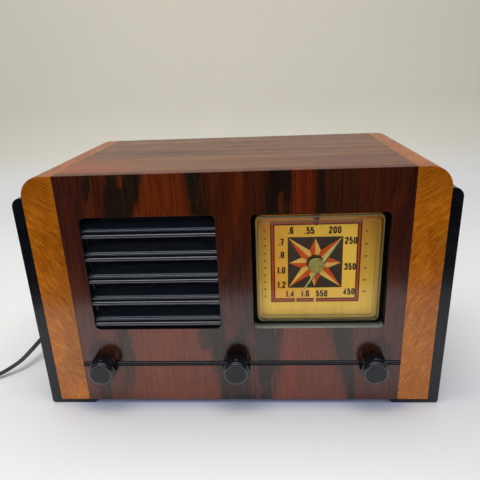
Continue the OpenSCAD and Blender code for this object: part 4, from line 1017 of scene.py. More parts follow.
# louvre grille
louvreSet = {"count": 5, "pitch": 21.5, "start": 2.3, "noseHeight": 7.6, "back": 18, "beadRadius": 1.65,
             "endWidth": 13, "lip": 8, "play": 0.6}
window = {"width": 117.0, "height": 108.6, "x": 73.5, "z": 133.0, "radius": 5.0}


def louvreProfile(reach):  # depth and height above the louvre's lower edge
    nose, r = louvreSet["noseHeight"], louvreSet["beadRadius"]
    profile = [(2.3, 0.1), (2.5, 0.0), (4.45, 0.0), (4.6, 0.15), (4.6, nose - 3.4), (5.0, nose - 3.0)]
    profile += [(6.5, nose - 2.2), (10, nose - 0.6), (15.4, nose + 2.9), (18, nose + 3), (18, nose + reach)]
    profile += [(15.6, nose + reach), (15.6, nose + 5.8), (12.4, nose + 4.15), (9, nose + 2.6),
                (6.4, nose + 1.62)]
    profile += [(5.4, nose + 1.2), (4.6, nose + 0.82), (4.2, nose + 0.5)]
    profile += arc(3.3, nose - 1.25, 1.4, 66, 180, 12)
    profile += [(1.95, nose - 1.5), (2.3, nose - 1.75), (4.3, nose - 1.9), (4.3, nose - 2.8)]
    profile += arc(r + 0.45, 2.35, r, 80, 236, 18)
    profile += [(3.2, 0.75), (3.2, 0.45), (2.3, 0.35)]
    return profile


def makeLouvres():
    w, h = window["width"] - louvreSet["play"], window["height"] - louvreSet["play"]
    low, high = window["z"] - h / 2, window["z"] + h / 2
    start, pitch, last = louvreSet["start"], louvreSet["pitch"], louvreSet["count"] - 1
    top = high - low - start - last * pitch - louvreSet["noseHeight"] + 0.3
    pieces = []
    for name, reach, rows in (("louvreSlats", 6, range(last)), ("topLouvre", top, [last])):
        profile = louvreProfile(reach)
        rings = [[Vector((x * mm, y * mm, z * mm)) for y, z in profile] for x in (-w / 2, w / 2)]
        slat = lofted(name, rings, [blackMoulding])
        spots = [at(-window["x"], 0, low + start + pitch * k) for k in rows]
        pieces.append(repeated(slat, spots, blackMoulding, smooth=40))
    left, right = -window["x"] - w / 2, -window["x"] + w / 2
    back, lip, end = louvreSet["back"], louvreSet["lip"], louvreSet["endWidth"]
    walls = [  # two cheeks, two ends, sill and head, and the lip that holds the cloth down
        ((left, 14, low), (left + 1, back, high)), ((right - 1, 14, low), (right, back, high)),
        ((left, 15.6, low), (left + end, back, high)), ((right - end, 15.6, low), (right, back, high)),
        ((left, 5, low), (right, back, low + 2)), ((left, 10, high - 1), (right, back, high)),
        ((left - lip, 10.05, low - lip), (left + 0.4, 12, high + lip)),
        ((right - 0.4, 10.05, low - lip), (right + lip, 12, high + lip)),
        ((left, 10.05, low - lip), (right, 12, low + 0.4)),
        ((left, 10.05, high - 0.4), (right, 12, high + lip))]
    pieces.append(boxes("grilleBox", walls, blackMoulding, 0.2))
    settle(pieces[0], "cabinet", "black_moulding", "louvre_grille")
    for piece in pieces[1:]:
        settle(piece, "cabinet", "black_moulding")


makeLouvres()
grilleCloth = softened("grille_cloth", "grilleCloth", grilleFabric, "grille_fabric", 0)
print("grille made")


# dial
dialSet = {
    "centre": (71.3, 136.7), "plate": 15.0, "ink": 0.05,
    "frame": (31.3, 111.0, 97.7, 176.2), "square": (46.7, 95.1, 112.1, 161.2),  # left, right, low, high
    "line": 1.15, "band": 1.55, "gaps": [(53.3, 54.3), (70.4, 72.2)],
    "ray": 23.0, "cornerRay": 0.965, "hollow": 12.9, "hole": 6.6,
    "numerals": [  # text, middle across, middle up, width
        (".55", 65.5, 167.1, 8.6), (".6", 49.3, 167.5, 4.9), (".7", 40.7, 156.7, 5.1),
        (".8", 41.1, 144.6, 5.1), ("1.0", 41.0, 129.7, 7.0), ("1.2", 41.2, 115.2, 7.2),
        ("1.4", 48.8, 106.2, 7.2), ("1.6", 62.6, 106.2, 7.2), ("550", 77.4, 106.0, 10.3),
        ("450", 101.9, 107.8, 10.3), ("350", 101.9, 132.4, 10.3), ("250", 101.9, 157.2, 10.6),
        ("200", 87.8, 167.3, 10.8)],
    "numeralHeight": 6.6,
    # columns of ticks: across at the top and the foot, height at the top and the foot, how many
    "ticks": [(26.5, 25.8, 167.3, 103.8, 10), (115.2, 115.5, 165.4, 107.6, 6)],
}


def layer(k):  # each printed layer lies a hair in front of the one below
    return dialSet["plate"] - dialSet["ink"] * (k + 1), dialSet["plate"] - dialSet["ink"] * k


def dialPiece(name, outlines, k, material, body="cabinet"):
    near, far = layer(k)
    return settle(slabs(name, outlines, near, far, material), body, "dial_brass")


def rectangle(left, right, low, high):
    return [(left, low), (right, low), (right, high), (left, high)]


def frameStrips(left, right, low, high, width, gaps=()):  # mitred strips round a rectangle
    strips = [
        [(left, low), (left + width, low + width), (left + width, high - width), (left, high)],
        [(right, low), (right, high), (right - width, high - width), (right - width, low + width)],
        [(left, high), (left + width, high - width), (right - width, high - width), (right, high)],
    ]
    marks = [left] + [edge for gap in gaps for edge in gap] + [right]
    for k in range(0, len(marks), 2):
        a, b = marks[k], marks[k + 1]
        inA, inB = (a + width if k == 0 else a), (b - width if k == len(marks) - 2 else b)
        strips.append([(a, low), (b, low), (inB, low + width), (inA, low + width)])
    return strips


def makeDialPrint():
    left, right, low, high = dialSet["frame"]
    line, band, gaps = dialSet["line"], dialSet["band"], dialSet["gaps"]
    dialPiece("dialFieldPrint", [rectangle(left + 3.6, right - 3.6, low + 3.6, high - 3.6)], 0, dialField)
    lines = frameStrips(left, right, low, high, line, gaps)
    inset = line + band
    lines += frameStrips(left + inset, right - inset, low + inset, high - inset, line, gaps)
    dialPiece("dialFrameLines", lines, 1, dialMaroon)
    bands = frameStrips(left + line, right - line, low + line, high - line, band, gaps)
    dialPiece("dialFrameBand", bands, 1, dialOrange)
    x = dialSet["centre"][0]
    keystone = [(x - 3.5, 180.4), (x + 3.5, 180.4), (x + 0.9, 171.8), (x - 0.9, 171.8)]
    dialPiece("dialKeystone", [keystone], 2, dialMaroon)
    keystone = [(x - 2.6, 179.6), (x - 0.9, 179.6), (x + 0.1, 173.4), (x - 0.5, 173.4)]
    dialPiece("dialKeystoneInner", [keystone], 3, dialOrange)
    a, b, c, d = dialSet["square"]
    dialPiece("dialSquarePrint", [rectangle(a, b, c, d)], 1, dialSquare)
    cx, cz = (a + b) / 2, (c + d) / 2
    halfW, halfH = (b - a) / 2, (d - c) / 2
    lit, shaded = [], []

    def around(angle, radius):
        return cx + radius * math.cos(angle), cz + radius * math.sin(angle)

    for k in range(8):  # eight rays, each half in its own colour
        way = math.radians(90 - 45 * k)
        if k % 2:
            tip = (cx + dialSet["cornerRay"] * halfW * math.copysign(1, math.cos(way)),
                   cz + dialSet["cornerRay"] * halfH * math.copysign(1, math.sin(way)))
        else:
            tip = around(way, dialSet["ray"])
        for turn, group in ((22.5, shaded), (-22.5, lit)):
            edge = math.radians(90 - 45 * k + turn)
            hole, hollow = dialSet["hole"], dialSet["hollow"]
            group.append([around(way, hole), tip, around(edge, hollow), around(edge, hole)])
    dialPiece("dialStarShaded", shaded, 2, starOrange)
    dialPiece("dialStarLit", lit, 2, dialCream)
    steps = [math.radians(7.5 * k) for k in range(49)]
    shadow = []
    for a, b in zip(steps[:-1], steps[1:]):  # painted shadow: a dark ring round the shaft's hole, so that the hole looks larger
        shadow.append([around(angle, r) for r, angle in ((6.7, a), (7.7, a), (7.7, b), (6.7, b))])
    dialPiece("dialHoleRing", shadow, 3, dialInk)
    ticks = []
    for x0, x1, z0, z1, count in dialSet["ticks"]:
        for k in range(count):
            t = k / (count - 1)
            x, z = x0 + (x1 - x0) * t, z0 + (z1 - z0) * t
            ticks.append(rectangle(x - 1.2, x + 1.2, z - 0.75, z + 0.75))
    dialPiece("dialTicks", ticks, 0, dialOrange)


# condensed figures as centre lines, in a box 2 wide and 2 high about the origin
figureSet = {
    "stroke": 1.34, "width": 3.3, "gap": 0.62, "narrow": {"1": 1.5, ".": 1.2},
    "lines": {
        "0": [("loop", 0, 0, 1, 1)],
        "1": [[(0.35, -1.18), (0.35, 1.18)], [(-0.9, 0.62), (0.2, 0.92)]],
        "2": [[(-1, 0.5), (-1, 0.78), (-0.5, 1), (0.5, 1), (1, 0.78), (1, 0.3), (-1, -0.72), (-1, -1),
               (1.2, -1)]],
        "3": [[(-1, 0.52), (-1, 0.78), (-0.5, 1), (0.5, 1), (1, 0.78), (1, 0.28), (0.5, 0.06),
               (-0.3, 0.06)],
              [(0.5, 0.06), (1, -0.18), (1, -0.78), (0.5, -1), (-0.5, -1), (-1, -0.78), (-1, -0.52)]],
        "4": [[(0.5, -1.18), (0.5, 1), (-1, -0.5), (1.35, -0.5)]],
        "5": [[(1.05, 1), (-0.9, 1), (-0.9, 0.1), (0.5, 0.24), (1, 0.02), (1, -0.78), (0.5, -1), (-0.5, -1),
               (-1, -0.78), (-1, -0.5)]],
        "6": [("loop", 0, -0.42, 1, 0.58),
              [(1, 0.56), (1, 0.78), (0.5, 1), (-0.5, 1), (-1, 0.78), (-1, -0.5)]],
        "7": [[(-1.2, 1), (1, 1), (1, 0.8), (-0.2, -1.18)]],
        "8": [("loop", 0, 0.5, 0.92, 0.5), ("loop", 0, -0.48, 1, 0.52)],
        ".": [[(0, -1.18), (0, -0.82)]],
    },
}


def ribbon(line, closed, half, near, far):  # a flat stroke along (x, z) points, with mitred corners
    count, points, faces = len(line), [], []
    for k, here in enumerate(line):
        back = line[k - 1] if k or closed else None
        ahead = line[(k + 1) % count] if k < count - 1 or closed else None
        before = (Vector(here) - Vector(back)).normalized() if back else None
        after = (Vector(ahead) - Vector(here)).normalized() if ahead else before
        before = before or after
        across = Vector((-(before.y + after.y), before.x + after.x)).normalized()
        reach = half / max(0.5, across.dot(Vector((-after.y, after.x))))
        for side, y in ((1, near), (-1, near), (1, far), (-1, far)):
            points.append(at(here[0] + side * reach * across.x, y, here[1] + side * reach * across.y))
    for k in range(count if closed else count - 1):
        a, b = 4 * k, 4 * ((k + 1) % count)
        faces += [(a, a + 1, b + 1, b), (a + 2, b + 2, b + 3, a + 3), (a, b, b + 2, a + 2),
                  (a + 1, a + 3, b + 3, b + 1)]
    if not closed:
        last = 4 * (count - 1)
        faces += [(0, 2, 3, 1), (last, last + 1, last + 3, last + 2)]
    return points, faces


def makeNumerals():
    near, far = layer(2)
    figures, height = figureSet, dialSet["numeralHeight"]
    points, faces = [], []
    for text, x, z, width in dialSet["numerals"]:
        wide = [figures["narrow"].get(mark, figures["width"]) for mark in text]
        shrink = width / (sum(wide) + figures["gap"] * (len(text) - 1))
        left = x - width / 2
        for mark, reach in zip(text, wide):
            middle = left + reach * shrink / 2
            halfW, halfH = (reach * shrink - figures["stroke"]) / 2, (height - figures["stroke"]) / 2
            for line in figures["lines"][mark]:
                closed = line[0] == "loop"
                if closed:
                    _, u, v, a, b = line
                    a, b = a * halfW, b * halfH
                    loop = roundedOutline(2 * a, 2 * b, 0.9 * min(a, b), 3)
                    line = [(u + p / halfW, v + q / halfH) for p, q in loop]
                line = [(middle + u * halfW, z + v * halfH) for u, v in line]
                corners, sides = ribbon(line, closed, figures["stroke"] / 2, near, far)
                faces += [tuple(len(points) + k for k in side) for side in sides]
                points += corners
            left += (reach + figures["gap"]) * shrink
    piece = newMesh("dialNumerals", points, faces, [dialInk])
    settle(closedUp(piece, 30), "cabinet", "dial_brass")


crystalSet = {"width": 109.0, "height": 100.6, "litLoops": (5, 6, 7, 10)}


def makeCrystal():
    w, h, r = crystalSet["width"], crystalSet["height"], window["radius"]
    # each loop of the front and of the back surface: width, height, corner radius and depth
    outer = [
        (w + 16, h + 16, r, 10.0), (w + 16, h + 16, r, 8.55), (w + 1.6, h + 1.6, r, 8.5),
        (w + 0.5, h + 0.5, r, 8.2), (w, h, r, 7.7), (w, h, r, 6.4), (w - 0.3, h - 0.3, r, 5.7),
        (w - 1.1, h - 1.1, r, 5.15), (w - 2.0, h - 2.0, r, 5.0), (w - 7.4, h - 7.4, 4, 5.0),
        (w - 8.4, h - 8.4, 4, 4.8), (w - 9.2, h - 9.2, 4, 4.25), (w - 10.0, h - 10.0, 4, 4.04),
        (w - 11.0, h - 11.0, 4, 4.0), (w - 12.0, h - 12.0, 4, 4.0)]
    inner = [
        (w - 12, h - 12, 3, 5.5), (w - 12.4, h - 12.4, 3, 5.52), (w - 13, h - 13, 3, 5.7),
        (w - 13, h - 13, 3, 6.3), (w - 12, h - 12, 3, 6.5), (w - 4.4, h - 4.4, 3.5, 6.5),
        (w - 3.3, h - 3.3, 3.5, 6.8), (w - 3, h - 3, 3.5, 7.6), (w - 3, h - 3, 3.5, 10.0)]
    x0, z0 = window["x"], window["z"]
    rings, closing = [
        [[at(x0 + x, y, z0 + z) for x, z in roundedOutline(a, b, c, 10)] for a, b, c, y in loops]
        for loops in (outer, inner)]
    count, points, faces = len(rings[0]), [], []
    for loops in (rings, closing):  # the front surface and the back surface, each with its flat middle
        faces += ringFaces(len(loops), count, len(points))
        points += [p for ring in loops for p in ring]
    faces.append(tuple(range((len(rings) - 1) * count, len(rings) * count)))
    second = len(rings) * count
    faces.append(tuple(range(second, second + count))[::-1])
    last = len(points) - count
    for i in range(count):  # the flange's back joins the two surfaces
        faces.append((i, (i + 1) % count, last + (i + 1) % count, last + i))
    piece = newMesh("dialCrystal", points, faces, [crystal, crystalEdge])
    for face in piece.data.polygons:  # painted highlight: the rim and the step get a light olive colour
        if face.index // count in crystalSet["litLoops"]:
            face.material_index = 1
    closedUp(piece, 40)
    settle(piece, "cabinet", "crystal", "dial_lens")


pointerSet = {
    "length": 60.0, "width": 3.2, "tip": 1.0, "turn": 33.0, "near": 6.7, "far": 7.3,
    "aside": 3.4, "up": 2.2,  # the needle crosses its hub beside the middle
}


def makePointer():
    profile = [(0, 6.05), (1.8, 6.08), (3.4, 6.18), (4.8, 6.4), (5.9, 6.75), (6.7, 7.2), (7.05, 7.7),
               (7.15, 8.2), (7.15, 8.5), (6.9, 8.7), (6.5, 8.8), (5.6, 9.2), (5.6, 11.0), (3.25, 11.0),
               (3.25, 9.7), (0, 9.7)]
    x, z = dialSet["centre"]
    hub = turned("pointerHub", [(r, y - 6) for r, y in profile], [at(x, 6, z)], pointerBrass, segments=72,
                 smooth=40)
    settle(hub, "tuning_gang", "pointer_brass", "dial_pointer")
    half, wide, tip = pointerSet["length"] / 2, pointerSet["width"] / 2, pointerSet["tip"] / 2
    turn, aside, up = math.radians(pointerSet["turn"]), pointerSet["aside"], pointerSet["up"]
    near, far = pointerSet["near"], pointerSet["far"]
    sections = [(-half, tip), (0, wide), (half * 0.6, wide * 0.85), (half, tip)]
    for name, side, material in (("pointerLit", -1, pointerLight), ("pointerShaded", 1, pointerShade)):
        rings = []
        for place, w in sections:
            ring = []
            for u, y in ((0, near), (side * w, far), (side * w, far + 0.1), (0, far + 0.1)):
                u, v = u + aside, place + up
                ring.append(at(x + u * math.cos(turn) + v * math.sin(turn), y,
                               z - u * math.sin(turn) + v * math.cos(turn)))
            rings.append(ring)
        settle(lofted(name, rings, [material]), "tuning_gang", "pointer_brass")


makeDialPrint()
makeNumerals()
makeCrystal()
makePointer()
print("dial made")


# knobs
knobSet = {"face": -18.0, "back": -1.5, "skirt": 13.0, "ring": 12.0, "edge": 11.2, "dull": 8.9, "flutes": 8,
           "fluteRadius": 9.0, "fluteCentre": 20.0, "bore": 3.225}


def makeKnob(name, x, body, nodeName):
    s = knobSet
    face, edge, skirt = s["face"], s["edge"], s["face"] + 6
    profile = [(0, face + 0.62), (3.4, face + 0.58), (6.6, face + 0.48), (8.3, face + 0.36),
               (8.55, face + 0.5), (8.8, face + 0.5), (9.0, face + 0.16), (9.4, face + 0.02), (9.8, face),
               (10.3, face + 0.1), (10.8, face + 0.42), (11.1, face + 0.85), (edge, face + 1.4),
               (edge - 0.05, face + 1.7), (edge - 0.8, face + 1.95), (edge - 0.8, face + 2.15),
               (edge - 0.1, face + 2.35), (edge + 0.2, face + 2.7), (edge + 0.3, face + 3.1),
               (edge + 0.15, face + 3.5), (edge - 0.7, face + 3.8), (edge - 0.75, skirt - 1.1),
               (s["ring"] - 0.35, skirt - 1.0), (s["ring"], skirt - 0.7), (s["ring"], skirt - 0.15),
               (s["ring"] + 0.1, skirt), (s["skirt"] - 0.5, skirt + 0.02),
               (s["skirt"] - 0.12, skirt + 0.2), (s["skirt"], skirt + 0.6), (s["skirt"], s["back"] - 0.5),
               (s["skirt"] - 0.4, s["back"]), (s["bore"], s["back"]), (s["bore"], face + 5), (0, face + 5)]
    piece = turned(name, [(r, y - face) for r, y in profile], [at(x, face, knobHeight)], knobMoulding,
                   segments=192, smooth=38, flutes=s["flutes"], flutecentre=s["fluteCentre"] * mm,
                   fluteradius=s["fluteRadius"] * mm, flutedfrom=(skirt - 0.1 - face) * mm)
    covered(piece.data, knobMoulding, knobGloss)
    for part in piece.data.polygons:  # the middle of the face is rubbed dull
        across = math.hypot(part.center.x - x * mm, part.center.z - (knobHeight + footHeight) * mm)
        part.material_index = 0 if across < s["dull"] * mm else 1
    settle(piece, body, "black_moulding", nodeName)


for kind, x in zip(("volume", "tone", "tuning"), knobPlaces):
    makeKnob(kind + "Knob", x, kind + "_spindle", kind + "_knob")
print("knobs made")


# speaker
speakerSet = {"x": -73.5, "z": 134.0, "steps": 72, "gaps": 4, "gapHalf": 5, "gapRows": range(3, 8),
              "sheet": 1.2, "coneRidges": 7}


def lying(name, profile, x, z, material, slotName, *replaced, segments=96, smooth=32.0):
    # turned about a front-to-back axis; the profile gives radius and depth behind the front
    piece = turned(name, profile, [at(x, 0, z)], material, segments=segments, smooth=smooth)
    body = bodyOf(replaced[0]) if replaced else "cabinet"
    return settle(piece, body, slotName, *replaced)


def threaded(radius, start, end, pitch=0.8, depth=0.3):  # a profile's stretch of screw thread
    count = 2 * int((end - start) / pitch)
    return [(radius - depth * (k % 2), start + (end - start) * k / count) for k in range(count + 1)]


def hexNut(name, places, across, hole, low, high, material, upright=False):
    profile = [(hole, low), (across - 0.5, low), (across, low + 0.4), (across, high - 0.4),
               (across - 0.5, high), (hole, high), (hole, low)]
    return turned(name, profile, places, material, upright=upright, segments=6, smooth=20)


def makeBasket():  # pressed sheet: four arms between the bell and the throat
    s = speakerSet
    rows = [(60.4, 26.2), (60.2, 28.0), (59.2, 31.5), (57.8, 34.4), (55.0, 37.4), (48.0, 43.0),
            (41.0, 48.6), (34.0, 54.2), (28.2, 58.8), (26.0, 59.9), (24.2, 60.0), (14.6, 60.0)]
    steps, quarter = s["steps"], s["steps"] / s["gaps"]
    points = []
    for radius, y in rows:
        for k in range(steps):
            a = 2 * math.pi * k / steps
            points.append(at(s["x"] + radius * math.cos(a), y, s["z"] + radius * math.sin(a)))
    faces = []
    for r in range(len(rows) - 1):
        for k in range(steps):
            gap = r in s["gapRows"] and abs((k + 0.5) % quarter - quarter / 2) < s["gapHalf"]
            if not gap:
                n = (k + 1) % steps
                faces.append((r * steps + k, r * steps + n, (r + 1) * steps + n, (r + 1) * steps + k))
    piece = closedUp(newMesh("speakerArms", points, faces, [speakerFrame]), 50)
    wall = piece.modifiers.new("sheet", "SOLIDIFY")
    wall.thickness = s["sheet"] * mm
    wall.offset = 0
    bevelled(piece, 0.25)
    settle(piece, bodyOf("speaker_basket"), "speaker_frame", "speaker_basket")
    rim = [(52, 24.9), (52.3, 24.6), (63.1, 24.6), (63.5, 25), (63.5, 26.6), (62.9, 26.9), (62.3, 26.6),
           (62.2, 26.0), (52.3, 26), (52, 25.7), (52, 24.9)]
    lying("speakerRim", rim, s["x"], s["z"], speakerFrame, "speaker_frame")


def makeCone():
    s = speakerSet
    front = [(0, 45.2), (3, 45.4), (6, 46.0), (9, 47.3), (11, 49.2), (11.8, 50.3)]
    for k in range(1, 60):
        t = k / 60
        ridge = 0.22 * math.sin(2 * math.pi * s["coneRidges"] * t) if t > 0.4 else 0
        front.append((12.2 + 36.8 * t, 50.2 - 21.6 * t + ridge))
    front += [(50, 28.0), (50.8, 27.5), (51.4, 27.6), (52, 27.9), (52.7, 27.7), (53.2, 27.0), (53.8, 26.4),
              (54.4, 26.1), (56, 26.05)]
    back = [(r, y + 0.6) for r, y in front if r > 12.7][::-1]
    former = [(12.6, 50.9), (12.6, 55.0), (11.6, 55.0), (11.6, 50.9), (9, 48.0), (6, 46.7), (3, 46.1),
              (0, 45.9)]
    cone = front + back + former
    lying("speakerCone", cone, s["x"], s["z"], conePaper, "cone_paper", "speaker_cone", smooth=25)
    pot = [(0, 52.8), (8.6, 52.8), (9, 53.2), (9, 60.7), (23.4, 60.7), (24, 61.3), (24, 64.2),
           (23.2, 64.4), (23.2, 65), (24, 65.2), (24, 82.2), (23.2, 82.4), (23.2, 83), (24, 83.2),
           (24, 85.6), (23, 86.4), (14, 86.6), (13.6, 86.2), (6, 86.2), (5.6, 86.6), (0, 86.6)]
    lying("speakerMagnet", pot, s["x"], s["z"], speakerFrame, "speaker_frame", "speaker_magnet")


makeBasket()
makeCone()
softened("speaker_baffle", "speakerBaffle", plainWood, "plain_wood", 0.3)

# output transformer
transformerSet = {"x": 5.0, "y": 78.0, "deck": 54.0, "core": (44.0, 16.0, 38.0), "plates": 26}


def makeTransformer():
    s = transformerSet
    x, y, deck = s["x"], s["y"], s["deck"]
    width, depth, height = s["core"]
    pitch = depth / s["plates"]
    plate = roundedOutline(width, height, 0.6, 2)
    rings = [[Vector((u * mm, v * mm, w * mm)) for u, w in plate] for v in (-0.36 * pitch, 0.36 * pitch)]
    spots = [at(x, y - depth / 2 + (k + 0.5) * pitch, deck + height / 2) for k in range(s["plates"])]
    core = repeated(lofted("transformerCore", rings, [transformerIron]), spots, transformerIron, smooth=30)
    settle(core, "cabinet", "transformer_iron", "output_transformer")
    rings = []
    for out, size in ((17, 20), (16.9, 22.4), (16.2, 24.6), (14.8, 25.7), (8, 26), (-8, 26), (-14.8, 25.7),
                      (-16.2, 24.6), (-16.9, 22.4), (-17, 20)):
        ring = roundedOutline(size, size, 2.5, 5)
        rings.append([at(x + u, y - out, deck + height / 2 + v) for u, v in ring])
    settle(lofted("transformerWinding", rings, [windingPaper]), "cabinet", "transformer_iron")
    a, b, top = width / 2, width / 2 + 1.2, deck + height
    strap = [(-b - 7.5, deck), (-b - 8, deck + 0.4), (-b - 7.5, deck + 1.2), (-b, deck + 1.2),
             (-b, top + 1.2), (b, top + 1.2), (b, deck + 1.2), (b + 7.5, deck + 1.2),
             (b + 8, deck + 0.4), (b + 7.5, deck), (a + 0.05, deck), (a + 0.05, top + 0.05),
             (-a - 0.05, top + 0.05), (-a - 0.05, deck)]
    clamp = slabs("transformerStrap", [[(x + u, v) for u, v in strap]], y - 5.5, y + 5.5, chassisSteel)
    settle(bevelled(clamp, 0.2), "cabinet", "transformer_iron")
    head = [(0, 3.2), (1.4, 3.1), (2.6, 2.5), (3.1, 1.6), (3.1, 1.2), (0, 1.2)]
    places = [at(x + u, y, deck) for u in (-b - 4.4, b + 4.4)]
    screws = turned("strapScrews", head, places, fittingBrass, upright=True, segments=32)
    settle(screws, "cabinet", "fitting_brass")


makeTransformer()

# dial drive and lamp
driveSet = {"drum": dialSet["centre"], "drumRadius": 28.0, "shaft": (knobPlaces[2], knobHeight),
            "shaftRadius": 4.667, "y": 22.0, "cord": 0.5, "lift": 0.8, "lamp": (40.3, 198.0)}


def makeDrive():
    s = driveSet
    x, z = s["drum"]
    y, r = s["y"], s["drumRadius"]
    drum = [(3.3, y - 3), (6.7, y - 3), (7, y - 2.7), (7, y - 0.8), (9, y - 0.75), (10.5, y - 1.3),
            (12, y - 0.75), (21, y - 0.75), (22.5, y - 1.2), (24, y - 0.8), (r - 3, y - 0.8),
            (r - 2.8, y - 2), (r + 2.2, y - 2), (r + 2.5, y - 1.8), (r + 0.2, y - 0.8), (r, y - 0.5),
            (r, y + 0.5), (r + 0.2, y + 0.8), (r + 2.5, y + 1.8), (r + 2.2, y + 2), (r - 2.8, y + 2),
            (r - 3, y + 0.8), (24, y + 0.8), (22.5, y + 0.4), (21, y + 0.75), (12, y + 0.75),
            (10.5, y + 0.3), (9, y + 0.75), (7, y + 0.8), (7, y + 2.7), (6.7, y + 3), (3.3, y + 3),
            (3.3, y - 3)]
    lying("dialDrum", drum, x, z, drumMetal, "drum_metal", "dial_drum", segments=120, smooth=28)
    big, small = r + s["lift"], s["shaftRadius"] + s["lift"]
    way = Vector(s["shaft"]) - Vector(s["drum"])
    lean = math.degrees(math.atan2(way.y, way.x))
    side = math.degrees(math.acos((big - small) / way.length))
    loop = arc(x, z, big, lean + side, lean + 360 - side, 60)
    loop += arc(*s["shaft"], small, lean - side, lean + side, 20)
    cord = wire("driveCord", [at(u, y, v) for u, v in loop], s["cord"], driveCord, sides=8, cyclic=True)
    settle(cord, bodyOf("dial_cord"), "drive_cord", "dial_cord")


def makeLamp():
    x, z = driveSet["lamp"]
    glass = [(0, 13.4)] + arc(0, 18, 4.6, -80, 0, 10)
    glass += [(4.6, 22), (4.3, 24.6), (3.9, 26), (3.9, 27.4), (3.4, 27.4), (3.4, 26.1), (3.8, 24.4),
              (4.1, 21.8)]
    glass += [(4.1, 18)] + arc(0, 18, 4.1, -10, -80, 8) + [(0, 13.9)]
    lying("lampBulb", glass, x, z, tubeGlass, "lamp_glass", "dial_lamp", segments=48)
    cap = [(0, 26.6), (3.3, 26.6), (3.85, 26.9)] + threaded(3.9, 27.6, 36.6, 1.5, 0.35)
    cap += [(3.4, 37.2), (1.6, 38.2), (1.5, 38.9), (0, 39)]
    lying("lampCap", cap, x, z, fittingBrass, "fitting_brass", segments=48)
    holder = [(3.96, 26.2), (4.9, 26.2), (4.9, 28.2), (6.8, 28.2), (7, 28.4), (7, 29), (6.8, 29.2),
              (4.9, 29.2), (4.9, 33), (4.6, 33.2), (4.6, 33.8), (4.9, 34), (4.9, 40.4), (4.3, 41.2),
              (1, 41.2), (1, 39.4), (3.96, 39.2), (3.96, 26.2)]
    lying("lampHolder", holder, x, z, fittingBrass, "fitting_brass", "lamp_holder", segments=48)
    post = ((1.6, 27), (1.6, 22), (1.3, 18.5))
    posts = [[at(x + side * u, y, z) for u, y in post] for side in (-1, 1)]
    turns = [(k, k * 1.2) for k in range(61)]
    coil = [at(x - 1.3 + 2.6 * k / 60, 18.3 + 0.35 * math.cos(a), z + 0.35 * math.sin(a)) for k, a in turns]
    for name, line, radius in (("lampPostLeft", posts[0], 0.18), ("lampPostRight", posts[1], 0.18),
                               ("lampFilament", coil, 0.1)):
        settle(wire(name, line, radius, shaftSteel, sides=6), "cabinet", "shaft_steel")


makeDrive()
makeLamp()
softened("dial_bracket", "dialBracket", chassisSteel, "chassis_steel", 0.2)
softened("gang_bracket", "gangBracket", chassisSteel, "chassis_steel", 0.2)
softened("gang_frame", "gangFrame", chassisSteel, "chassis_steel", 0.3)
softened("gang_stators", "gangStators", capacitorMetal, "capacitor_metal", 0.12, 1)
softened("gang_rotor", "gangRotor", capacitorMetal, "capacitor_metal", 0.12, 1)
print("speaker, transformer and drive made")

# shafts and controls
controlSet = {"apron": 33.2, "radius": 11.2, "shaft": 3.175, "bushing": 4.7, "bore": 3.3, "wiper": 8.2,
              "collar": 6.27, "caseDepths": (22.0, 13.0)}


def controlNut(name, x):
    places = [at(x, 0, knobHeight)]
    nut = hexNut(name, places, 7.4, controlSet["bushing"] - 0.1, 29.6, 32, fittingBrass)
    settle(nut, "cabinet", "fitting_brass")


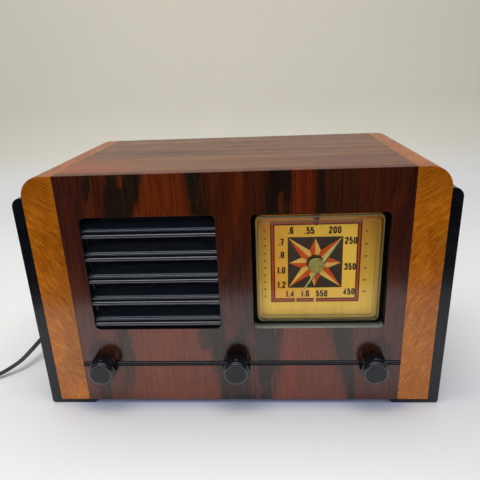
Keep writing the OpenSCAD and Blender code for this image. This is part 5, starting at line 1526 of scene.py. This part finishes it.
def makeControls():
    s, z = controlSet, knobHeight
    front, r, rod = s["apron"], s["radius"], s["shaft"]
    tip = [(0, -12.5), (2.7, -12.5), (rod, -12)]
    for kind, x, depth in zip(("volume", "tone"), knobPlaces, s["caseDepths"]):
        wiper = [(rod, front + 7.5), (s["wiper"] - 0.3, front + 7.5), (s["wiper"], front + 7.8),
                 (s["wiper"], front + 8.7), (s["wiper"] - 0.3, front + 9), (0, front + 9)]
        lying(kind + "Shaft", tip + wiper, x, z, shaftSteel, "shaft_steel", kind + "_shaft", segments=48)
        end = front + depth
        case = [(s["bore"], 26), (4.4, 26)] + threaded(s["bushing"], 26.3, front - 0.2)
        case += [(r - 0.5, front), (r, front + 0.5), (r, front + 2.6), (r - 0.35, front + 2.9),
                 (r - 0.35, front + 3.4), (r, front + 3.7), (r, end - 1), (r - 0.7, end - 0.2),
                 (r - 1.4, end), (0.8, end), (0.8, front + 11), (s["wiper"] + 1.5, front + 11),
                 (s["wiper"] + 1.5, front + 3), (s["bore"], front + 3), (s["bore"], 26)]
        lying(kind + "Control", case, x, z, controlCase, "control_case", kind + "_control", segments=72)
        controlNut(kind + "Nut", x)
        low, high = z - r - 6.5, z - r + 1.5
        lugs = [((u - 1.3, front + 2.4, low), (u + 1.3, front + 3, high)) for u in (x - 6, x, x + 6)]
        settle(boxes(kind + "Lugs", lugs, fittingBrass, 0.2), "cabinet", "fitting_brass")
    x = knobPlaces[2]
    waist, rim = driveSet["shaftRadius"], s["collar"]  # the drive cord runs between two collars
    shaft = tip + [(rod, 17.5), (rim - 0.27, 17.5), (rim, 17.8), (rim, 18.3), (waist, 18.8),
                   (waist, 25.2), (rim, 25.7), (rim, 26.2), (rim - 0.27, 26.5), (rod, 26.5),
                   (rod, front + 11.5), (2.8, front + 12), (0, front + 12)]
    lying("tuningShaft", shaft, x, z, shaftSteel, "shaft_steel", "tuning_shaft", segments=48)
    bushing = [(s["bore"], 28), (4.4, 28)] + threaded(s["bushing"], 28.3, front - 0.2)
    bushing += [(8.2, front), (8.7, front + 0.4), (8.7, front + 1.6), (8.2, front + 2),
                (s["bushing"], front + 2), (s["bushing"], front + 7.4), (4.2, front + 8),
                (s["bore"], front + 8), (s["bore"], 28)]
    lying("tuningBushing", bushing, x, z, fittingBrass, "fitting_brass", "tuning_bushing", segments=48)
    controlNut("tuningNut", x)


makeControls()

# chassis, tubes and cans
deckSet = {
    "deck": 54.0, "tubes": [(125, 72), (80, 128), (-4, 128), (-46, 128), (-88, 128)], "baseHeight": 22.0,
    "pins": 8, "pinCircle": 8.6, "cans": [(122, 125), (38, 125)], "canWidth": 34.0, "canHeight": 72.0,
    "capacitor": (-130, 125), "bolts": [(-136.5, 52), (-136.5, 140), (136.5, 52), (136.5, 140)],
}
glassNodes = ["converter_tube", "amplifier_tube", "detector_tube", "output_tube", "rectifier_tube"]


def standing(name, profile, spots, level, material, slotName, *replaced, segments=64, smooth=32.0):
    places = [at(x, y, level) for x, y in spots]
    piece = turned(name, profile, places, material, upright=True, segments=segments, smooth=smooth)
    return settle(piece, "cabinet", slotName, *replaced)


def ringed(spots, radius, count, start=0.0):  # places in a ring round each spot
    turns = [math.radians(start + 360 * k / count) for k in range(count)]
    return [(x + radius * math.cos(a), y + radius * math.sin(a)) for x, y in spots for a in turns]


def makeTubes():
    s = deckSet
    spots, deck = s["tubes"], s["deck"]
    socket = [(4, 0), (17, 0), (17.5, 0.4), (17.5, 3.4), (17, 4), (16.7, 4), (16.3, 3.6), (16.3, 1),
              (4, 1), (4, 0)]
    standing("tubeSockets", socket, spots, deck, brownMoulding, "brown_moulding", "tube_sockets")
    base = [(0, -7), (3, -7), (3.5, -6.5), (3.5, 0), (14.6, 0), (15.4, 0.4), (15.8, 1.2), (15.8, 3),
            (15.4, 3.2), (15.4, 3.6), (16, 3.9), (16, 18.4), (15.7, 19.6), (15.1, 20.6), (14.7, 21.8),
            (13.6, 22.2), (0, 22.2)]
    standing("tubeBases", base, spots, deck + 1, brownMoulding, "brown_moulding", "tube_bases")
    pin = [(0, -6.5), (0.8, -6.5), (1.15, -6), (1.15, 0.3), (0, 0.3)]
    pins = ringed(spots, s["pinCircle"], s["pins"], 22.5)
    standing("tubePins", pin, pins, deck + 1, fittingBrass, "fitting_brass", segments=12)
    level = deck + 1 + s["baseHeight"]
    outer = [(13.2, 0), (13.8, 1), (14, 3), (14, 46)] + arc(0, 46, 14, 6, 90, 14)
    inner = arc(0, 46, 13.1, 90, 6, 14) + [(13.1, 46), (13.1, 3), (12.9, 1.2), (12.4, 0), (13.2, 0)]
    for spot, nodeName in zip(spots, glassNodes):
        name = nodeName.split("_")[0] + "Glass"
        standing(name, outer + inner, [spot], level, tubeGlass, "tube_glass", nodeName)
    getter = arc(0, 46, 12.95, 90, 38, 10) + arc(0, 46, 12.8, 38, 90, 10)
    standing("getterFlash", getter, spots, level, getterSilver, "electrode_metal", segments=48)
    plate = [(6.1, 13), (6.5, 13), (6.5, 16), (6.9, 16.6), (6.5, 17.2), (6.5, 25), (6.9, 25.6), (6.9, 26.4),
             (6.5, 27), (6.5, 34.8), (6.9, 35.4), (6.5, 36), (6.5, 39), (6.1, 39), (6.1, 13)]
    standing("tubePlates", plate, spots, level, electrodeMetal, "electrode_metal", "tube_electrodes",
             segments=48)
    mica = [(0, 0), (9.2, 0), (9.5, 0.2), (9.5, 0.5), (9.2, 0.7), (0, 0.7)]
    standing("tubeMicas", mica, spots, level + 12.3, micaPale, "electrode_metal", segments=24)
    standing("tubeTopMicas", mica, spots, level + 39, micaPale, "electrode_metal", segments=24)
    press = [(0, 0), (6, 0), (6.2, 0.8), (4.4, 2), (3, 5), (2.6, 8.4), (1.8, 9.4), (0, 9.6)]
    standing("tubeStems", press, spots, level, micaPale, "tube_glass", segments=32)
    rod = [(0, 0), (0.45, 0), (0.45, 36), (0.2, 36.4), (0, 36.4)]
    rods = ringed(spots, 7.9, 4, 45)
    standing("tubeRods", rod, rods, level + 6, shaftSteel, "electrode_metal", segments=8)
    ring = [(3 + p, q) for p, q in arc(0, 0, 0.4, 0, 360, 8)]
    standing("getterRings", ring, spots, level + 43, shaftSteel, "electrode_metal", segments=32)


def makeCans():
    s = deckSet
    w, h, deck = s["canWidth"], s["canHeight"], s["deck"]
    rings = [  # size, corner radius and height
        (w, 3, 0), (w, 3, 1.6), (w - 0.6, 2.8, 2.0), (w, 3, 2.4), (w, 3, h - 2), (w - 0.4, 3, h - 1),
        (w - 1.4, 3, h - 0.3), (w - 3, 3, h), (12, 4, h), (11, 4, h - 0.5), (6, 3, h - 0.5), (6, 3, h - 1.6),
        (w - 3.4, 3, h - 1.6), (w - 2, 2.6, h - 2.6), (w - 2, 2.6, 0)]
    for (x, y), name, replaced in zip(s["cans"], ("coilCan1", "coilCan2"), (["coil_cans"], [])):
        loops = []
        for size, r, z in rings:
            loops.append([at(x + u, y + v, deck + z) for u, v in roundedOutline(size, size, r, 6)])
        can = lofted(name, loops + loops[:1], [capacitorMetal], False, False)
        settle(can, "cabinet", "capacitor_metal", *replaced)
    core = [(0, h - 3), (2.7, h - 3), (2.7, h - 1), (2.2, h - 0.8), (0, h - 0.8)]
    standing("canCores", core, s["cans"], deck, fittingBrass, "capacitor_metal", segments=24)
    tin = [(0, 0), (14.6, 0), (15, 0.4), (15, 1.6), (14.6, 2), (13, 2.2), (13, 7), (12.4, 7.6),
           (12.4, 8.8), (13, 9.4), (13, 66), (12.5, 66.6), (12.5, 67.4), (13, 68), (13, 73.4),
           (12.5, 75), (11.6, 75.8), (11, 76), (10.4, 75.6), (10, 75), (1.2, 75), (1, 75.3), (0, 75.4)]
    standing("filterCapacitor", tin, [s["capacitor"]], deck, capacitorMetal, "capacitor_metal",
             "filter_capacitor")


def makeBolts():
    s = deckSet
    bolt = [(0, -2.6), (3.2, -2.6), (4.2, -2.2), (4.5, -1.2), (4.5, 0), (2, 0), (2, 15.6), (1.6, 16.2),
            (0, 16.2)]
    standing("chassisBolts", bolt, s["bolts"], 0, shaftSteel, "chassis_steel", "chassis_bolts", segments=32)
    places = [at(x, y, 0) for x, y in s["bolts"]]
    nuts = hexNut("chassisNuts", places, 3.8, 1.95, 11.2, 14.2, shaftSteel, upright=True)
    settle(nuts, "cabinet", "chassis_steel")


softened("chassis", "chassisPan", chassisSteel, "chassis_steel", 0.35)
makeTubes()
makeCans()
makeBolts()
print("chassis and tubes made")

# back
backSet = {
    "cover": 187.0, "coverFace": 190.0, "middle": 112.0, "loop": (290.0, 96.0, 14.0), "turns": 12,
    "band": 16.5, "wire": 0.5, "card": 1.7, "screws": [(x, z) for x in (-163, 163) for z in (25, 175)],
}


def makeAntenna():  # wire wound flat on a thin card behind the cover
    s = backSet
    width, height, radius = s["loop"]
    line = []
    for turn in range(s["turns"]):
        here, ahead = [
            roundedOutline(width - 1.4 - 2 * d, height - 1.4 - 2 * d, max(3, radius - d), 6)
            for d in (s["band"] * turn / s["turns"], s["band"] * (turn + 1) / s["turns"])]
        for k, ((x0, z0), (x1, z1)) in enumerate(zip(here, ahead)):
            t = k / len(here)
            line.append(at(x0 * (1 - t) + x1 * t, s["cover"] - 2.35, s["middle"] + z0 * (1 - t) + z1 * t))
    winding = wire("antennaWinding", line, s["wire"], antennaWire, sides=8)
    settle(winding, "cabinet", "antenna_wire", "loop_antenna")
    rings = []
    front, back = s["cover"] - s["card"], s["cover"]
    for size, y in ((0, front), (0, back), (36, back), (36, front), (0, front)):
        outline = roundedOutline(width - size, height - size, radius if size == 0 else 5, 6)
        rings.append([at(u, y, s["middle"] + v) for u, v in outline])
    settle(lofted("antennaCard", rings, [fibreBoard], False, False), "cabinet", "fibre_board")


def makeCoverScrews():
    s = backSet
    profile = [(0, -10), (1, -9), (1.6, -8), (1.6, 0), (3.6, 0), (4, 0.3), (3.9, 0.8), (3.2, 1.5),
               (2, 2), (0, 2.2)]
    face, screws = s["coverFace"], s["screws"]
    head = turned("coverScrews", profile, [at(x, face, z) for x, z in screws], fittingBrass, segments=40)
    cuts = [((x - 4.2, face + 1.1, z - 0.45), (x + 4.2, face + 3, z + 0.45)) for x, z in screws]
    slots = boxes("slots", cuts, fittingBrass, 0)
    cut = head.modifiers.new("slots", "BOOLEAN")
    cut.operation, cut.solver, cut.object = "DIFFERENCE", "EXACT", slots
    mesh = plainMesh(head)
    for spare in (head, slots):
        bpy.data.objects.remove(spare)
    settle(closedUp(newObject("coverScrews", mesh)), "cabinet", "fitting_brass", "cover_screws")


makeAntenna()
makeCoverScrews()
softened("rear_cover", "rearCover", fibreBoard, "fibre_board", 0.25)
print("back made")


# pieces that keep their CAD shape
for nodeName, material in (("dial_plate", dialBrass), ("dial_mask", blackPaint)):
    covered(cadNodes[nodeName].data, material)


# studio
studioSet = {
    "floor": (229, 228, 226), "wall": (222, 217, 202), "shown": 0.85,
    "half": 3, "depth": 0.62, "bend": 0.22, "height": 1.7,
    "edge": [(3, -0.36), (0.25, -0.337), (0, -0.318), (-0.24, -0.29), (-3, -0.2)],  # the table's, in metres
    # the same edge in millimetres from the front: its two corners, its middle and how it leans
    "corners": (-240.0, 250.0), "middle": -224.0, "lean": -0.096, "outerLean": -0.03,
    "aside": (1000, 1700),  # how far to the sides the plain colour starts
}


def makeStage():
    depth, bend, height, half = (studioSet[key] for key in ("depth", "bend", "height", "half"))
    line = [(-half, 0.0), (depth, 0.0)]
    for k in range(1, 16):
        a = math.radians(6 * k)
        line.append((depth + bend * math.sin(a), bend - bend * math.cos(a)))
    line.append((depth + bend, height))
    points = [(x, y, z) for y, z in line for x in (-half, half)]
    faces = [(k, k + 1, k + 3, k + 2) for k in range(0, 2 * len(line) - 2, 2)]
    material, w, shader, place, out = newMaterial("stagePaper", Roughness=0.85, Specular_IOR_Level=0.15)
    floor, wall = paint(*studioSet["floor"]), paint(*studioSet["wall"])
    x, y, z = w.split(place)
    colour = w.mixed(w.spread(z, 0, 120), floor, wall)
    contactShadow = w.times(w.spread(y, -15, 3), w.spread(w.math("ABSOLUTE", x), 176, 146))
    contactShadow = w.times(contactShadow, w.spread(y, 200, 170))
    colour = w.mixed(w.times(contactShadow, 0.75), colour, paint(168, 178, 212))  # painted shadow: blue under the cabinet
    cloud = w.spread(w.noise(place, 0.004, 3.0), 0.3, 0.7, 0.985, 1.0)
    tableShade = w.times(w.spread(x, 40, 330), w.spread(y, 120, -60))  # painted shade: the table darker to the right
    w.give(shader.inputs["Base Color"], w.shaded(colour, w.times(cloud, w.spread(tableShade, 0, 1, 1.0, 0.9))))
    # past the table's edge and far to the sides the camera is shown the plain colour
    left, right = studioSet["corners"]
    near = w.math("MINIMUM", w.most(x, left), right)
    edge = w.math("MULTIPLY_ADD", near, studioSet["lean"], studioSet["middle"])
    edge = w.math("MULTIPLY_ADD", w.minus(x, near), studioSet["outerLean"], edge)
    far = w.most(w.spread(w.minus(y, edge), 4, -30), w.spread(w.math("ABSOLUTE", x), *studioSet["aside"]))
    seen = w.times(w.add("ShaderNodeLightPath").outputs["Is Camera Ray"], far)
    upright = w.spread(z, 0, 120)
    plain = w.add("ShaderNodeEmission", {
        "Color": w.mixed(upright, floor, wall),
        "Strength": w.spread(upright, 0, 1, 1.0, studioSet["shown"])})
    both = w.add("ShaderNodeMixShader", {0: seen, 1: shader.outputs[0], 2: plain.outputs[0]})
    w.give(out.inputs["Surface"], both.outputs[0])
    sweep = newMesh("studioSweep", points, faces, [material])
    sweep.data.shade_smooth()
    # beyond the table's edge the room is dark, which only the reflections show
    dark, w, shader, place, _ = newMaterial("roomBeyond", Roughness=1.0, Specular_IOR_Level=0.0)
    w.give(shader.inputs["Base Color"], w.mixed(w.noise(place, 0.01), paint(12, 10, 9), paint(20, 18, 17)))
    outline = [(-half, -half, 0.002), (half, -half, 0.002)] + [(x, y, 0.002) for x, y in studioSet["edge"]]
    card = newMesh("tableEdgeCard", outline, [tuple(range(len(outline)))], [dark])
    for ray in ("camera", "shadow", "transmission", "volume_scatter"):
        setattr(card, "visible_" + ray, False)


def addLamp(name, place, target, size, power, colour=(1, 1, 1), glossy=True):
    data = bpy.data.lights.new(name, "AREA")
    data.shape = "RECTANGLE"
    data.size, data.size_y = size
    data.energy = power
    data.color = colour
    lamp = newObject(name, data)
    lamp.location = place
    lamp.rotation_euler = (Vector(target) - Vector(place)).to_track_quat("-Z", "Y").to_euler()
    lamp.visible_glossy = glossy
    return lamp


def lightRoom():  # dim behind the camera and bright above, with the plain wall shown to the camera
    world = bpy.data.worlds.new("room")
    scene.world = world
    world.use_nodes = True
    world.node_tree.nodes.clear()
    w = Wiring(world.node_tree)
    _, y, z = w.split(w.add("ShaderNodeTexCoord").outputs["Generated"])
    bright = w.spread(w.plus(w.times(z, 0.9), w.times(y, 0.5)), -0.1, 0.7, 0.14, 1.0)
    sky = w.add("ShaderNodeBackground", {"Color": paint(206, 218, 246), "Strength": w.times(bright, 0.78)})
    shown = {"Color": paint(*studioSet["wall"]), "Strength": studioSet["shown"]}
    wall = w.add("ShaderNodeBackground", shown)
    seen = w.add("ShaderNodeLightPath").outputs["Is Camera Ray"]
    both = w.add("ShaderNodeMixShader", {0: seen, 1: sky.outputs[0], 2: wall.outputs[0]})
    w.add("ShaderNodeOutputWorld", {"Surface": both.outputs[0]})


makeStage()
addLamp("ceilingLamp", (-0.12, -0.04, 1.35), (-0.12, -0.04, 0), (1.4, 0.8), 15.0, (1.0, 0.95, 0.85))
addLamp("roomFill", (-0.3, -1.5, 0.9), (0, 0, 0.1), (1.6, 1.0), 8.5, (0.86, 0.93, 1.0), glossy=False)
addLamp("windowGlint", (0.95, -1.15, 1.05), (0.07, 0, 0.14), (0.09, 0.14), 1.0, (1.0, 0.98, 0.94))
lightRoom()
scene.view_settings.view_transform = "Standard"
print("studio lit")
